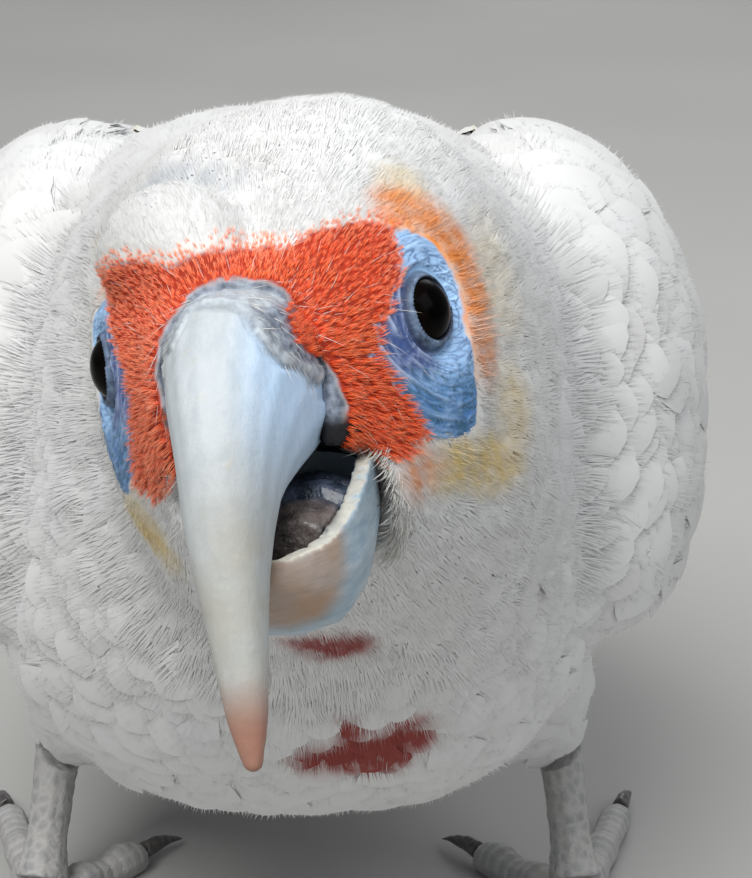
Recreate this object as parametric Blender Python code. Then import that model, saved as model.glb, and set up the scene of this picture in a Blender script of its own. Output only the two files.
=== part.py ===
"""A long-billed corella (Cacatua tenuirostris), life size, standing still with its head turned.

The bird faces -Y, its left side is +X and it stands on z = 0. Sizes below are in
millimetres and degrees; every mesh is written in metres. The outline is that of the
plumage, out to the feather tips. Head, neck and trunk are one flowing form, parted by
thin cuts.
"""

import math

import bmesh
import bpy
import numpy as np
from mathutils import Matrix, Vector

MM = 0.001
GAP = 0.3  # between two pieces that touch in the real bird

# Where the head is and how it is held.
EYE_LINE = Vector((-1.0, -95.0, 134.0))  # midway between the two eyes
HEAD_TURN = -11.0  # about the head's own upright, towards the bird's right
HEAD_LIFT = 20.0  # the face looks up by this much
HEAD_ROLL = 9.8  # the left eye is higher than the right

# Head, in its own frame: y runs backward from the eyes, z up.
# y, height of the centre, half width, rise, drop, squareness
HEAD = [
    (23.0, -4.0, 28.0, 34.5, 37.0, 2.45),
    (12.0, -4.0, 25.6, 31.5, 33.0, 2.4),
    (3.0, -4.5, 22.2, 27.0, 29.0, 2.35),
    (-4.0, -5.5, 18.3, 24.0, 25.0, 2.3),
    (-10.0, -6.5, 14.3, 19.5, 20.0, 2.2),
    (-15.0, -6.5, 11.2, 13.8, 15.0, 2.2),
    (-18.2, -5.0, 8.6, 9.3, 9.5, 2.1),
]
# Trunk and neck, from the vent forward.
# x, y, z of the centre, turn, lift, roll, half width, rise, drop, squareness
BODY = [
    (0.0, 92.0, 48.5, 0.0, 18.0, 0.0, 14.0, 7.5, 9.5, 2.1),
    (0.0, 80.0, 52.0, 0.0, 20.0, 0.0, 20.0, 14.0, 17.0, 2.1),
    (0.0, 58.0, 60.5, 0.0, 24.0, 0.0, 32.0, 28.0, 31.0, 2.2),
    (0.0, 32.0, 71.0, 0.0, 27.0, 0.0, 45.0, 45.0, 43.0, 2.3),
    (0.0, 4.0, 83.0, 0.0, 28.0, 0.0, 51.5, 55.0, 54.0, 2.45),
    (0.0, -22.0, 94.0, 0.0, 28.0, 0.0, 50.0, 53.5, 56.0, 2.45),
    (0.3, -43.0, 104.0, -2.0, 27.0, 1.0, 42.5, 47.0, 51.0, 2.4),
    (1.6, -60.0, 114.0, -6.0, 24.0, 4.0, 34.0, 39.0, 43.5, 2.4),
]
TRUNK_END = 6.35  # station where the neck begins
NECK_END = 8.55  # station where the head begins
ROUND_BODY = 28  # sides of head, neck and trunk

EYE = Vector((15.5, 1.3, -0.7))  # centre of the left eyeball, head frame
EYE_RADIUS = 5.6

# Upper bill, head frame: y, z of the centre, downward slope, half width, rise, drop, x
UPPER_BILL = [
    (-8.0, -4.3, 22.0, 8.4, 10.2, 9.5, 0.4),
    (-14.5, -5.5, 24.0, 8.8, 10.8, 10.8, 0.5),
    (-20.7, -7.0, 30.0, 8.3, 11.5, 11.3, 0.5),
    (-26.5, -10.7, 40.0, 7.0, 10.1, 9.7, 0.5),
    (-30.6, -16.2, 55.0, 5.3, 7.6, 7.0, 0.5),
    (-33.6, -24.0, 67.0, 3.8, 5.0, 4.9, 0.4),
    (-35.6, -32.0, 73.0, 2.8, 3.3, 3.2, 0.4),
    (-36.8, -39.0, 78.0, 2.0, 1.9, 1.8, 0.3),
    (-37.4, -43.9, 82.0, 0.7, 0.7, 0.7, 0.2),
]
# Lower bill, head frame: y, half width, height of the rim, height of the keel, wall
LOWER_BILL = [
    (-3.0, 8.6, -12.5, -27.5, 1.6),
    (-8.0, 9.4, -14.3, -30.5, 1.6),
    (-14.0, 9.4, -17.3, -32.8, 1.7),
    (-19.0, 8.7, -20.3, -33.0, 1.9),
    (-23.5, 7.0, -22.9, -31.3, 2.1),
    (-26.8, 4.8, -24.0, -28.6, 2.2),
    (-28.4, 2.6, -24.4, -26.8, 2.2),
]
JAW_SHIFT = 2.4  # the lower bill has slid towards the bird's left as it chews
MOUTH = (Vector((2.0, -12.0, -18.0)), Vector((13.5, 9.0, 5.0)))  # centre and half sizes
# Tongue, head frame: y, x, z, half width, half height
TONGUE = [
    (-6.0, 3.0, -19.0, 4.6, 2.6),
    (-10.0, 4.5, -20.4, 5.6, 3.8),
    (-16.0, 5.0, -21.8, 5.0, 3.9),
    (-20.5, 4.2, -23.6, 3.2, 2.6),
]

# Folded wing: y, z of the centre line it wraps, lift, half width, rise,
# lowest and highest angle round the body, thickness
WING = [
    (-47.0, 106.0, 27.0, 41.0, 45.5, 2.0, 32.0, 2.5),
    (-36.0, 100.5, 27.5, 46.2, 50.6, -22.0, 50.0, 8.5),
    (-10.0, 89.0, 28.0, 51.8, 55.8, -26.0, 62.0, 13.0),
    (18.0, 77.0, 27.5, 49.9, 52.6, -20.0, 70.0, 12.0),
    (46.0, 65.5, 25.5, 42.0, 40.0, -14.0, 79.0, 8.5),
    (76.0, 54.0, 21.0, 33.0, 28.0, 0.0, 82.0, 6.0),
    (104.0, 45.0, 18.0, 27.5, 18.0, 9.0, 83.0, 4.5),
    (134.0, 36.0, 17.5, 24.0, 11.0, 12.0, 83.0, 3.2),
    (165.0, 26.4, 17.0, 19.5, 8.0, 16.0, 82.0, 2.4),
    (190.0, 18.8, 17.0, 12.5, 6.0, 26.0, 76.0, 1.6),
]
WING_END = 5.6  # station where the bare primaries leave the wing
WING_LIFT = 0.9  # between the wing and the surface it wraps
BELLY_DEPTH = 1.1  # drop of that surface for its half width
WING_SQUARE = 2.4
# Tail: y, z, lift, half width, rise, drop
TAIL = [
    (92.8, 48.2, 18.0, 13.5, 7.0, 9.0),
    (105.0, 44.4, 18.0, 15.5, 5.2, 7.4),
    (130.0, 36.5, 17.5, 18.5, 3.2, 4.8),
    (160.0, 27.1, 17.5, 22.5, 2.0, 2.8),
    (188.0, 18.4, 17.0, 25.5, 1.2, 1.8),
    (199.0, 15.0, 17.0, 24.0, 0.8, 1.2),
]

LEGS = {"left": 1.0, "right": -1.0}
FOOT = Vector((46.0, -3.0, 0.0))  # under the ball of the left foot
HEEL = Vector((43.5, 11.0, 26.5))
HIP = Vector((27.0, 0.0, 56.0))
FOOT_TURN = 14.0  # toes point outward
# share of the way from hip to heel, half width across, half width fore and aft
THIGH = [(0.0, 12.0, 18.0), (0.35, 12.5, 18.0), (0.7, 10.0, 13.0), (0.93, 6.4, 7.4), (1.0, 5.2, 5.8)]
SHANK = [(-0.08, 4.2, 4.6), (0.3, 3.5, 3.9), (0.65, 3.4, 3.7), (0.9, 4.6, 5.2)]
BALL_REACH = 10.0  # toes leave the foot this far from its middle
BALL_SIZES = Vector((6.5, 7.3, 4.3))  # half sizes of the pad under the ankle
# name, direction from straight ahead towards the outer side, length
TOES = [
    ("toe_1", -152.0, 23.0),
    ("toe_2", -17.0, 29.0),
    ("toe_3", 27.0, 38.0),
    ("toe_4", 148.0, 34.0),
]
TOE_RADIUS = (3.3, 2.5)  # at the foot and at the claw
KNUCKLE = 0.35  # how far the pads swell between the joints
CLAW_LENGTH = 10.5
CLAW_RADIUS = 1.9
CLAW_RISE = 16.0  # it leaves the toe pointing up by this much
CLAW_BEND = 62.0  # and turns down by this much to its tip

WHITE = (0.86, 0.84, 0.80)
BONE = (0.74, 0.74, 0.70)
SLATE = (0.13, 0.15, 0.20)
GREY = (0.30, 0.31, 0.34)
BLACK = (0.02, 0.015, 0.015)


def material(name, colour, roughness):
    """A Principled material, made once for each name."""
    made = bpy.data.materials.get(name) or bpy.data.materials.new(name)
    made.use_nodes = True
    shader = made.node_tree.nodes["Principled BSDF"]
    shader.inputs["Base Color"].default_value = (*colour, 1.0)
    shader.inputs["Roughness"].default_value = roughness
    shader.inputs["Metallic"].default_value = 0.0
    return made


def collection(name):
    made = bpy.data.collections.new(name)
    bpy.context.scene.collection.children.link(made)
    return made


def facing(turn, lift, roll):
    """The rotation of a piece that looks along -Y when all three angles are zero."""
    return (
        Matrix.Rotation(math.radians(-lift), 3, "X")
        @ Matrix.Rotation(math.radians(-roll), 3, "Y")
        @ Matrix.Rotation(math.radians(turn), 3, "Z")
    )


HEAD_FRAME = facing(HEAD_TURN, HEAD_LIFT, HEAD_ROLL)


def on_head(point):
    return EYE_LINE + HEAD_FRAME @ Vector(point)


def row_at(rows, place):
    """The row at a fractional station, on a smooth curve through all the rows."""
    rows = np.array(rows, float)
    rows = np.vstack([2 * rows[0] - rows[1], rows, 2 * rows[-1] - rows[-2]])
    start = min(int(place), len(rows) - 4)
    before, here, there, after = rows[start : start + 4]
    t = place - start
    bend = 2 * before - 5 * here + 4 * there - after + t * (3 * (here - there) + after - before)
    return here + 0.5 * t * (there - before + t * bend)


def places(first, last, per_station):
    count = max(2, round((last - first) * per_station) + 1)
    return np.linspace(first, last, count)


def ring(centre, frame, half, rise, drop, square=2.0, sides=16):
    """A closed section across the frame's Y, rounder or squarer by one power."""
    points = []
    for step in range(sides):
        across, upward = math.cos(math.tau * step / sides), math.sin(math.tau * step / sides)
        height = rise if upward > 0 else drop
        x = half * math.copysign(abs(across) ** (2 / square), across)
        z = height * math.copysign(abs(upward) ** (2 / square), upward)
        points.append(centre + frame @ Vector((x, 0.0, z)))
    return points


def loft(rings):
    """A closed mesh through rings of equal count, with a flat cap at each end."""
    form = bmesh.new()
    loops = [[form.verts.new(point * MM) for point in points] for points in rings]
    for one, other in zip(loops, loops[1:]):
        for k, vertex in enumerate(one):
            beside = (k + 1) % len(one)
            form.faces.new((vertex, one[beside], other[beside], other[k]))
    form.faces.new(loops[0])
    form.faces.new(loops[-1])
    bmesh.ops.recalc_face_normals(form, faces=form.faces)
    bmesh.ops.triangulate(form, faces=form.faces)
    return form


def add(name, form, colour, roughness, group):
    mesh = bpy.data.meshes.new(name)
    form.to_mesh(mesh)
    form.free()
    mesh.shade_smooth()
    mesh.materials.append(material(name, colour, roughness))
    made = bpy.data.objects.new(name, mesh)
    group.objects.link(made)
    return made


def tool(name, form):
    """A cutter: seen as wire, never part of the bird."""
    made = add(name, form, GREY, 0.5, bpy.data.collections["cutters"])
    made.hide_render = True
    made.display_type = "WIRE"
    return made


def join(piece, other, operation):
    change = piece.modifiers.new(f"{operation.lower()} {other.name}", "BOOLEAN")
    change.object = other
    change.operation = operation
    change.solver = "EXACT"


def body_rows():
    """Trunk and neck rows, then the head's rows turned into the same form."""
    rows = list(BODY)
    for y, height, half, rise, drop, square in HEAD:
        centre = on_head((0.0, y, height))
        rows.append((*centre, HEAD_TURN, HEAD_LIFT, HEAD_ROLL, half, rise, drop, square))
    return rows


def body_form(first, last, per_station, grow=0.0):
    rings = []
    for place in places(first, last, per_station):
        x, y, z, turn, lift, roll, half, rise, drop, square = row_at(body_rows(), place)
        frame = facing(turn, lift, roll)
        rings.append(
            ring(Vector((x, y, z)), frame, half + grow, rise + grow, drop + grow, square, ROUND_BODY)
        )
    return loft(rings)


def upper_bill_form(grow=0.0):
    rings = []
    for place in places(0, len(UPPER_BILL) - 1, 2):
        y, z, slope, half, rise, drop, x = row_at(UPPER_BILL, place)
        frame = HEAD_FRAME @ Matrix.Rotation(math.radians(slope), 3, "X")
        rings.append(
            ring(on_head((x, y, z)), frame, half + grow, rise + grow, drop + grow, 2.3, 16)
        )
    return loft(rings)


def trough_ring(y, half, top, keel):
    """A U section: a flat open side on top and a round keel below."""
    points = []
    for step in range(9):
        angle = math.pi + math.pi * step / 8
        across, upward = math.cos(angle), math.sin(angle)
        x = half * math.copysign(abs(across) ** 0.75, across)
        z = top + (top - keel) * math.copysign(abs(upward) ** 0.8, upward)
        points.append(on_head((JAW_SHIFT + x, y, z)))
    for share in (0.5, 0.0, -0.5):
        points.append(on_head((JAW_SHIFT + half * share, y, top)))
    return points


def lower_bill_form(grow=0.0):
    rings = []
    for place in places(0, len(LOWER_BILL) - 1, 2):
        y, half, top, keel, _ = row_at(LOWER_BILL, place)
        rings.append(trough_ring(y, half + grow, top + grow, keel - grow))
    return loft(rings)


def lower_bill_hollow(inset=0.0):
    """The space inside the lower bill, open at the top."""
    rings = []
    for place in places(0.3 + inset / 4, len(LOWER_BILL) - 1.75 - inset / 4, 2):
        y, half, top, keel, wall = row_at(LOWER_BILL, place)
        rings.append(trough_ring(y, half - wall - inset, top + 4.0, keel + 1.5 * wall + inset))
    return loft(rings)


def ball(centre, sizes, frame, around, along):
    """A round body turned from a unit sphere."""
    form = bmesh.new()
    bmesh.ops.create_uvsphere(form, u_segments=around, v_segments=along, radius=1.0)
    stretch = Matrix.Diagonal((*(sizes * MM), 1.0))
    place = Matrix.Translation(centre * MM) @ frame.to_4x4() @ stretch
    bmesh.ops.transform(form, matrix=place, verts=form.verts)
    bmesh.ops.triangulate(form, faces=form.faces)
    return form


def eye_form(side, grow=0.0):
    centre = on_head((side * EYE.x, EYE.y, EYE.z))
    sideways = HEAD_FRAME @ Matrix.Rotation(math.radians(90.0), 3, "Y")
    return ball(centre, Vector((1, 1, 1)) * (EYE_RADIUS + grow), sideways, 12, 7)


def tongue_form():
    rings = []
    for place in places(0, len(TONGUE) - 1, 2):
        y, x, z, half, high = row_at(TONGUE, place)
        rings.append(ring(on_head((x, y, z)), HEAD_FRAME, half, high, high, 2.2, 10))
    return loft(rings)


def blade_ring(row, side):
    """A section of the folded wing: an arc round the body, thick at its middle."""
    y, z, lift, half, rise, low, high, thick = row
    frame = facing(0.0, lift, 0.0)
    centre = Vector((0.0, y, z))
    inner, outer = [], []
    count = 9
    for step in range(count):
        share = step / (count - 1)
        angle = math.radians(low + (high - low) * share)
        swell = 0.28 + 0.72 * math.sin(math.pi * share) ** 0.7
        for points, out in ((inner, WING_LIFT), (outer, WING_LIFT + thick * swell)):
            reach = rise if angle > 0 else half * BELLY_DEPTH
            x = side * (half + out) * math.cos(angle) ** (2 / WING_SQUARE)
            height = (reach + out) * math.copysign(abs(math.sin(angle)) ** (2 / WING_SQUARE), angle)
            points.append(centre + frame @ Vector((x, 0.0, height)))
    return inner + outer[::-1]


def wing_form(side, first, last):
    return loft([blade_ring(row_at(WING, place), side) for place in places(first, last, 2)])


def tail_form():
    rings = []
    for place in places(0, len(TAIL) - 1, 2):
        y, z, lift, half, rise, drop = row_at(TAIL, place)
        rings.append(ring(Vector((0.0, y, z)), facing(0.0, lift, 0.0), half, rise, drop, 2.6, 12))
    return loft(rings)


def mirrored(point, side):
    return Vector((side * point.x, point.y, point.z))


def limb_rings(start, end, rows, side, sides):
    """Rings square to the line between two joints."""
    start, end = mirrored(start, side), mirrored(end, side)
    frame = (end - start).to_track_quat("-Y", "Z").to_matrix()
    return [
        ring(start.lerp(end, share), frame, across, deep, deep, 2.0, sides)
        for share, across, deep in rows
    ]


def toe_rings(side, direction, first, last, count, lowest=0.0):
    """Rings of a toe that lies on the floor, from one reach to another."""
    heading = math.radians(direction + FOOT_TURN)
    ahead = Vector((side * math.sin(heading), -math.cos(heading), 0.0))
    frame = ahead.to_track_quat("-Y", "Z").to_matrix()
    root = mirrored(FOOT, side)
    rings = []
    for reach in np.linspace(first, last, count):
        share = reach / 38.0
        radius = TOE_RADIUS[0] + (TOE_RADIUS[1] - TOE_RADIUS[0]) * share
        radius += KNUCKLE * math.cos(math.tau * reach / 9.5)
        centre = root + ahead * reach + Vector((0, 0, radius * 0.92))
        points = ring(centre, frame, radius, radius, radius, 2.2, 8)
        rings.append([Vector((p.x, p.y, max(p.z, lowest))) for p in points])
    return rings


def claw_form(side, direction, length):
    heading = math.radians(direction + FOOT_TURN)
    ahead = Vector((side * math.sin(heading), -math.cos(heading), 0.0))
    across = Vector((ahead.y, -ahead.x, 0.0))
    start = math.radians(CLAW_RISE)
    lead = length + GAP + CLAW_RADIUS * math.sin(start)
    root = mirrored(FOOT, side) + ahead * lead + Vector((0, 0, 2.9))
    rings = []
    arc = math.radians(CLAW_BEND)
    bow = CLAW_LENGTH / arc
    for share in (0.0, 0.3, 0.6, 0.85, 1.0):
        turn = arc * share - start
        run = bow * (math.sin(turn) + math.sin(start))
        fall = bow * (math.cos(start) - math.cos(turn))
        centre = root + ahead * run - Vector((0, 0, fall * 0.62))
        frame = Matrix.Rotation(turn, 3, across) @ ahead.to_track_quat("-Y", "Z").to_matrix()
        radius = CLAW_RADIUS * (1.0 - 0.82 * share**1.2)
        points = ring(centre, frame, radius * 0.85, radius, radius, 2.0, 8)
        rings.append([Vector((p.x, p.y, max(p.z, 0.05))) for p in points])
    return loft(rings)


def make_body(bird):
    trunk = add("trunk", body_form(0, TRUNK_END, 3), WHITE, 0.8, bird)
    add("neck", body_form(TRUNK_END + 0.012, NECK_END - 0.014, 3), WHITE, 0.8, bird)
    head = add("head", body_form(NECK_END + 0.014, len(BODY) + len(HEAD) - 1, 3), WHITE, 0.8, bird)
    return trunk, head


def make_face(head, bird):
    add("bill_upper", upper_bill_form(), BONE, 0.35, bird)
    lower = add("bill_lower", lower_bill_form(), BONE, 0.4, bird)
    join(lower, tool("bill_hollow", lower_bill_hollow()), "DIFFERENCE")
    upper_room = tool("upper_bill_room", upper_bill_form(GAP))
    lower_room = tool("lower_bill_room", lower_bill_form(GAP))
    join(lower, upper_room, "DIFFERENCE")
    tongue = add("tongue", tongue_form(), SLATE, 0.3, bird)
    join(tongue, tool("tongue_room", lower_bill_hollow(GAP)), "INTERSECT")
    join(tongue, upper_room, "DIFFERENCE")
    for room in (upper_room, lower_room):
        join(head, room, "DIFFERENCE")
    join(head, tool("mouth", ball(on_head(MOUTH[0]), MOUTH[1], HEAD_FRAME, 12, 7)), "DIFFERENCE")
    for name, side in LEGS.items():
        add(f"eye_{name}", eye_form(side), BLACK, 0.05, bird)
        join(head, tool(f"socket_{name}", eye_form(side, GAP)), "DIFFERENCE")


def make_wings(bird):
    for name, side in LEGS.items():
        add(f"wing_{name}", wing_form(side, 0, WING_END), WHITE, 0.8, bird)
        add(f"primaries_{name}", wing_form(side, WING_END + 0.012, len(WING) - 1), WHITE, 0.7, bird)
    add("tail", tail_form(), WHITE, 0.7, bird)


def make_ground():
    form = bmesh.new()
    bmesh.ops.create_cube(form, size=BALL_REACH * 20 * MM)
    bmesh.ops.translate(form, vec=(0.0, 0.0, -BALL_REACH * 10 * MM), verts=form.verts)
    return tool("ground", form)


def make_leg(name, side, trunk_room, ground, bird):
    thigh = add(f"thigh_{name}", loft(limb_rings(HIP, HEEL, THIGH, side, 16)), WHITE, 0.8, bird)
    join(thigh, trunk_room, "DIFFERENCE")
    roomier = [(share * 1.01, across + GAP, deep + GAP) for share, across, deep in THIGH]
    thigh_room = tool(f"thigh_room_{name}", loft(limb_rings(HIP, HEEL, roomier, side, 16)))
    ankle = FOOT + Vector((0.0, 0.0, 5.0))
    shank = add(f"tarsus_{name}", loft(limb_rings(HEEL, ankle, SHANK, side, 10)), GREY, 0.6, bird)
    pad = ball(mirrored(FOOT, side) + Vector((0.0, 0.0, 3.3)), BALL_SIZES, facing(11.0, 0.0, 0.0), 10, 6)
    join(shank, tool(f"pad_{name}", pad), "UNION")
    for toe, direction, length in TOES:
        stub = loft(toe_rings(side, direction, BALL_REACH - 6.0, BALL_REACH, 3, -BALL_REACH))
        join(shank, tool(f"stub_{toe}_{name}", stub), "UNION")
        rings = toe_rings(side, direction, BALL_REACH + GAP, length, 7)
        add(f"{toe}_{name}", loft(rings), GREY, 0.6, bird)
        claw = claw_form(side, direction, length)
        add(f"{toe.replace('toe', 'claw')}_{name}", claw, SLATE, 0.35, bird)
    join(shank, ground, "DIFFERENCE")
    join(shank, thigh_room, "DIFFERENCE")


def centre_on_floor(bird):
    """Moves everything so that the origin is under the middle of the whole bird."""
    view = bpy.context.evaluated_depsgraph_get()
    corners = []
    for piece in bird.objects:
        solid = piece.evaluated_get(view)
        corners += [solid.matrix_world @ Vector(corner) for corner in solid.bound_box]
    middle = [
        (min(c[axis] for c in corners) + max(c[axis] for c in corners)) / 2 for axis in (0, 1)
    ]
    for piece in bpy.data.objects:
        piece.location -= Vector((*middle, 0.0))


def main():
    for old in list(bpy.data.objects):
        bpy.data.objects.remove(old)
    bird = collection("corella")
    collection("cutters")
    trunk, head = make_body(bird)
    make_face(head, bird)
    make_wings(bird)
    trunk_room = tool("trunk_room", body_form(0, TRUNK_END, 3, GAP))
    ground = make_ground()
    for name, side in LEGS.items():
        make_leg(name, side, trunk_room, ground, bird)
    centre_on_floor(bird)


main()
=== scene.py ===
import math

import bmesh
import bpy
import numpy as np
from mathutils import Matrix, Vector, noise
from mathutils.bvhtree import BVHTree


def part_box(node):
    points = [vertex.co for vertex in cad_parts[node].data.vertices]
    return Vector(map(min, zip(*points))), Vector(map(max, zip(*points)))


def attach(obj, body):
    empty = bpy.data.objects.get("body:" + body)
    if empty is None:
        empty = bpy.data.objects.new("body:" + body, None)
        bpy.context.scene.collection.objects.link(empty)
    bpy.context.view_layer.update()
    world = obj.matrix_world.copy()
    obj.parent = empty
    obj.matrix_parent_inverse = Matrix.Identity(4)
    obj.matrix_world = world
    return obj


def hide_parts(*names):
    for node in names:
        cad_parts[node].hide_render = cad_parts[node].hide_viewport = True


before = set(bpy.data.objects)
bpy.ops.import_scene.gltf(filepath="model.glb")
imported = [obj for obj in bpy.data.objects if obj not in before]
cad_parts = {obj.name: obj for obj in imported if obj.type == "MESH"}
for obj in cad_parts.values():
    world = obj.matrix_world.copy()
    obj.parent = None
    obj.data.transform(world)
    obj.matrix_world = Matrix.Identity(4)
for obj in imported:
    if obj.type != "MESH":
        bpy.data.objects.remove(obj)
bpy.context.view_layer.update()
mm = 0.001
sides = {"left": 1.0, "right": -1.0}
dice = np.random.default_rng(41)


# where the head sits: x to the bird's left, y to its back, z up, in millimetres from the eye line
headPose = {
    "turn": -11.0,
    "lift": 20.0,
    "roll": 9.8,
    "eyeBack": 1.3,
    "eyeUp": -0.7,
}


def facing(turn, lift, roll):
    return np.array(
        Matrix.Rotation(math.radians(-lift), 3, "X")
        @ Matrix.Rotation(math.radians(-roll), 3, "Y")
        @ Matrix.Rotation(math.radians(turn), 3, "Z")
    )


def boxMiddle(node):
    low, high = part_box(node)
    return np.array((low + high) / 2)


headAxes = facing(headPose["turn"], headPose["lift"], headPose["roll"])
eyeCentre = {name: boxMiddle("eye_" + name) for name in sides}
eyeLine = (eyeCentre["left"] + eyeCentre["right"]) / 2
eyeLine = eyeLine - headAxes @ np.array((0.0, headPose["eyeBack"], headPose["eyeUp"])) * mm


def toHead(points):
    return (np.asarray(points) - eyeLine) @ headAxes / mm


def fromHead(points):
    return eyeLine + np.asarray(points, float) @ headAxes.T * mm


def ramp(value, low, high):
    share = np.clip((value - low) / (high - low), 0.0, 1.0)
    return share * share * (3.0 - 2.0 * share)


def unit(vectors):
    return vectors / np.maximum(np.linalg.norm(vectors, axis=-1, keepdims=True), 1e-12)


# markings, shared by the skin and by every root of the coat
faceMap = {
    "middleX": 0.3,
    "middleZ": -5.0,
    # angle from straight above the bill, and how far out the red reaches there
    "redAngle": (0, 25, 42, 50, 62, 78, 90, 104, 118, 128, 136),
    "redReach": (14.0, 14.6, 20.6, 22.0, 19.5, 14.8, 14.0, 15.8, 19.2, 18.5, 14.5),
    "cereAngle": (0, 41, 70, 100, 120, 136),
    "cereReach": (10.6, 11.6, 11.0, 10.3, 11.4, 13.0),
    "cereAngleLeft": (0, 22, 35, 45, 60, 80, 95, 110, 120, 136),
    "cereReachLeft": (10.6, 10.7, 10.5, 9.5, 8.6, 8.5, 9.8, 11.1, 11.8, 13.0),
    "redLow": 134.0,
    # bare skin round the eye: angle from straight above it towards the nape, and reach
    "patchY": -0.5,
    "patchZ": -0.5,
    "patchAngle": (4, 25, 45, 85, 125, 150, 161, 173, 190, 219, 246, 265, 290, 317, 345),
    "patchReach": (9.2, 8.1, 6.2, 5.0, 5.6, 9.5, 14.6, 15.3, 14.4, 12.8, 13.0, 11.5, 9.0, 8.6, 9.2),
}
# the opening between the two halves of the bill, in head millimetres
mouth = {"middle": (2.0, -12.0, -18.0), "half": (13.5, 9.0, 5.0)}


def wobble(points, size, seed):
    # smooth value between about -1 and 1, from three sine waves at odd angles
    turned = points / size + seed * 1.7
    x, y, z = turned[:, 0], turned[:, 1], turned[:, 2]
    first = np.sin(2.1 * x + 1.3 * y + 0.7 * z + seed)
    second = np.sin(-1.1 * x + 2.3 * y + 1.9 * z + 2 * seed)
    third = np.sin(1.7 * x - 0.9 * y + 2.9 * z + 3 * seed)
    return (first + second + third) / 3.0


def markings(points):
    q = toHead(points)
    x = q[:, 0] - faceMap["middleX"]
    z = q[:, 2] - faceMap["middleZ"]
    reach = np.hypot(x, z)
    angle = np.degrees(np.abs(np.arctan2(x, z)))
    shake = 0.45 * wobble(q, 1.6, 1.0) + 0.3 * wobble(q, 0.7, 2.0)
    redEdge = np.interp(angle, faceMap["redAngle"], faceMap["redReach"])
    cereEdge = np.interp(angle, faceMap["cereAngle"], faceMap["cereReach"]) - 1.7 * ramp(x, -1.0, -7.0)
    cereLeft = np.interp(angle, faceMap["cereAngleLeft"], faceMap["cereReachLeft"])
    cereEdge = np.where(x > 0, cereLeft, cereEdge)
    outside = reach - redEdge
    lowEnd = ramp(angle, faceMap["redLow"] + 3.0, faceMap["redLow"] - 1.0)
    front = ramp(q[:, 1], 9.0, 5.0)
    red = ramp(outside + shake, 0.5, -0.5) * lowEnd * front
    cere = ramp(reach - cereEdge + shake * 0.6, 0.4, -0.4) * ramp(q[:, 1], -6.0, -9.0)
    cere = cere * ramp(angle, 150.0, 140.0)

    patchY = q[:, 1] - faceMap["patchY"]
    patchZ = q[:, 2] - faceMap["patchZ"]
    patchTurn = np.degrees(np.arctan2(patchY, patchZ)) % 360.0
    patchEdge = np.interp(patchTurn, faceMap["patchAngle"], faceMap["patchReach"], period=360.0)
    patchOut = np.hypot(patchY, patchZ) - patchEdge
    nearSide = ramp(np.abs(q[:, 0]), 11.0, 12.0)
    bare = ramp(np.maximum(patchOut + 0.5 * shake, -outside - shake - 0.3), 0.35, -0.35) * nearSide
    red = red * (1.0 - bare) * (1.0 - cere)

    inMouth = (q - np.array(mouth["middle"])) / (np.array(mouth["half"]) + 0.9)
    gape = ramp(np.linalg.norm(inMouth, axis=1), 1.12, 0.95)
    gape = gape * ramp(q[:, 0], 11.0, 10.4) * ramp(q[:, 0], -8.0, -7.2)
    # how far a point lies from the naked face, which sets the length of the coat there
    away = np.minimum(np.where(front > 0, outside, 40.0), np.where(nearSide > 0, patchOut, 40.0))
    away = np.where(angle > faceMap["redLow"] + 3.0, np.maximum(away, reach - cereEdge - 1.0), away)
    return {
        "head": q,
        "angle": angle,
        "red": red,
        "bare": np.maximum(bare, 0.0),
        "cere": cere * (1.0 - bare),
        "gape": gape,
        "away": np.maximum(away, 0.0),
        "cereIn": cereEdge - reach,
        "redIn": redEdge - reach,
        "patchOut": patchOut,
        "lidFar": np.hypot(patchY, patchZ),
    }


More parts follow.
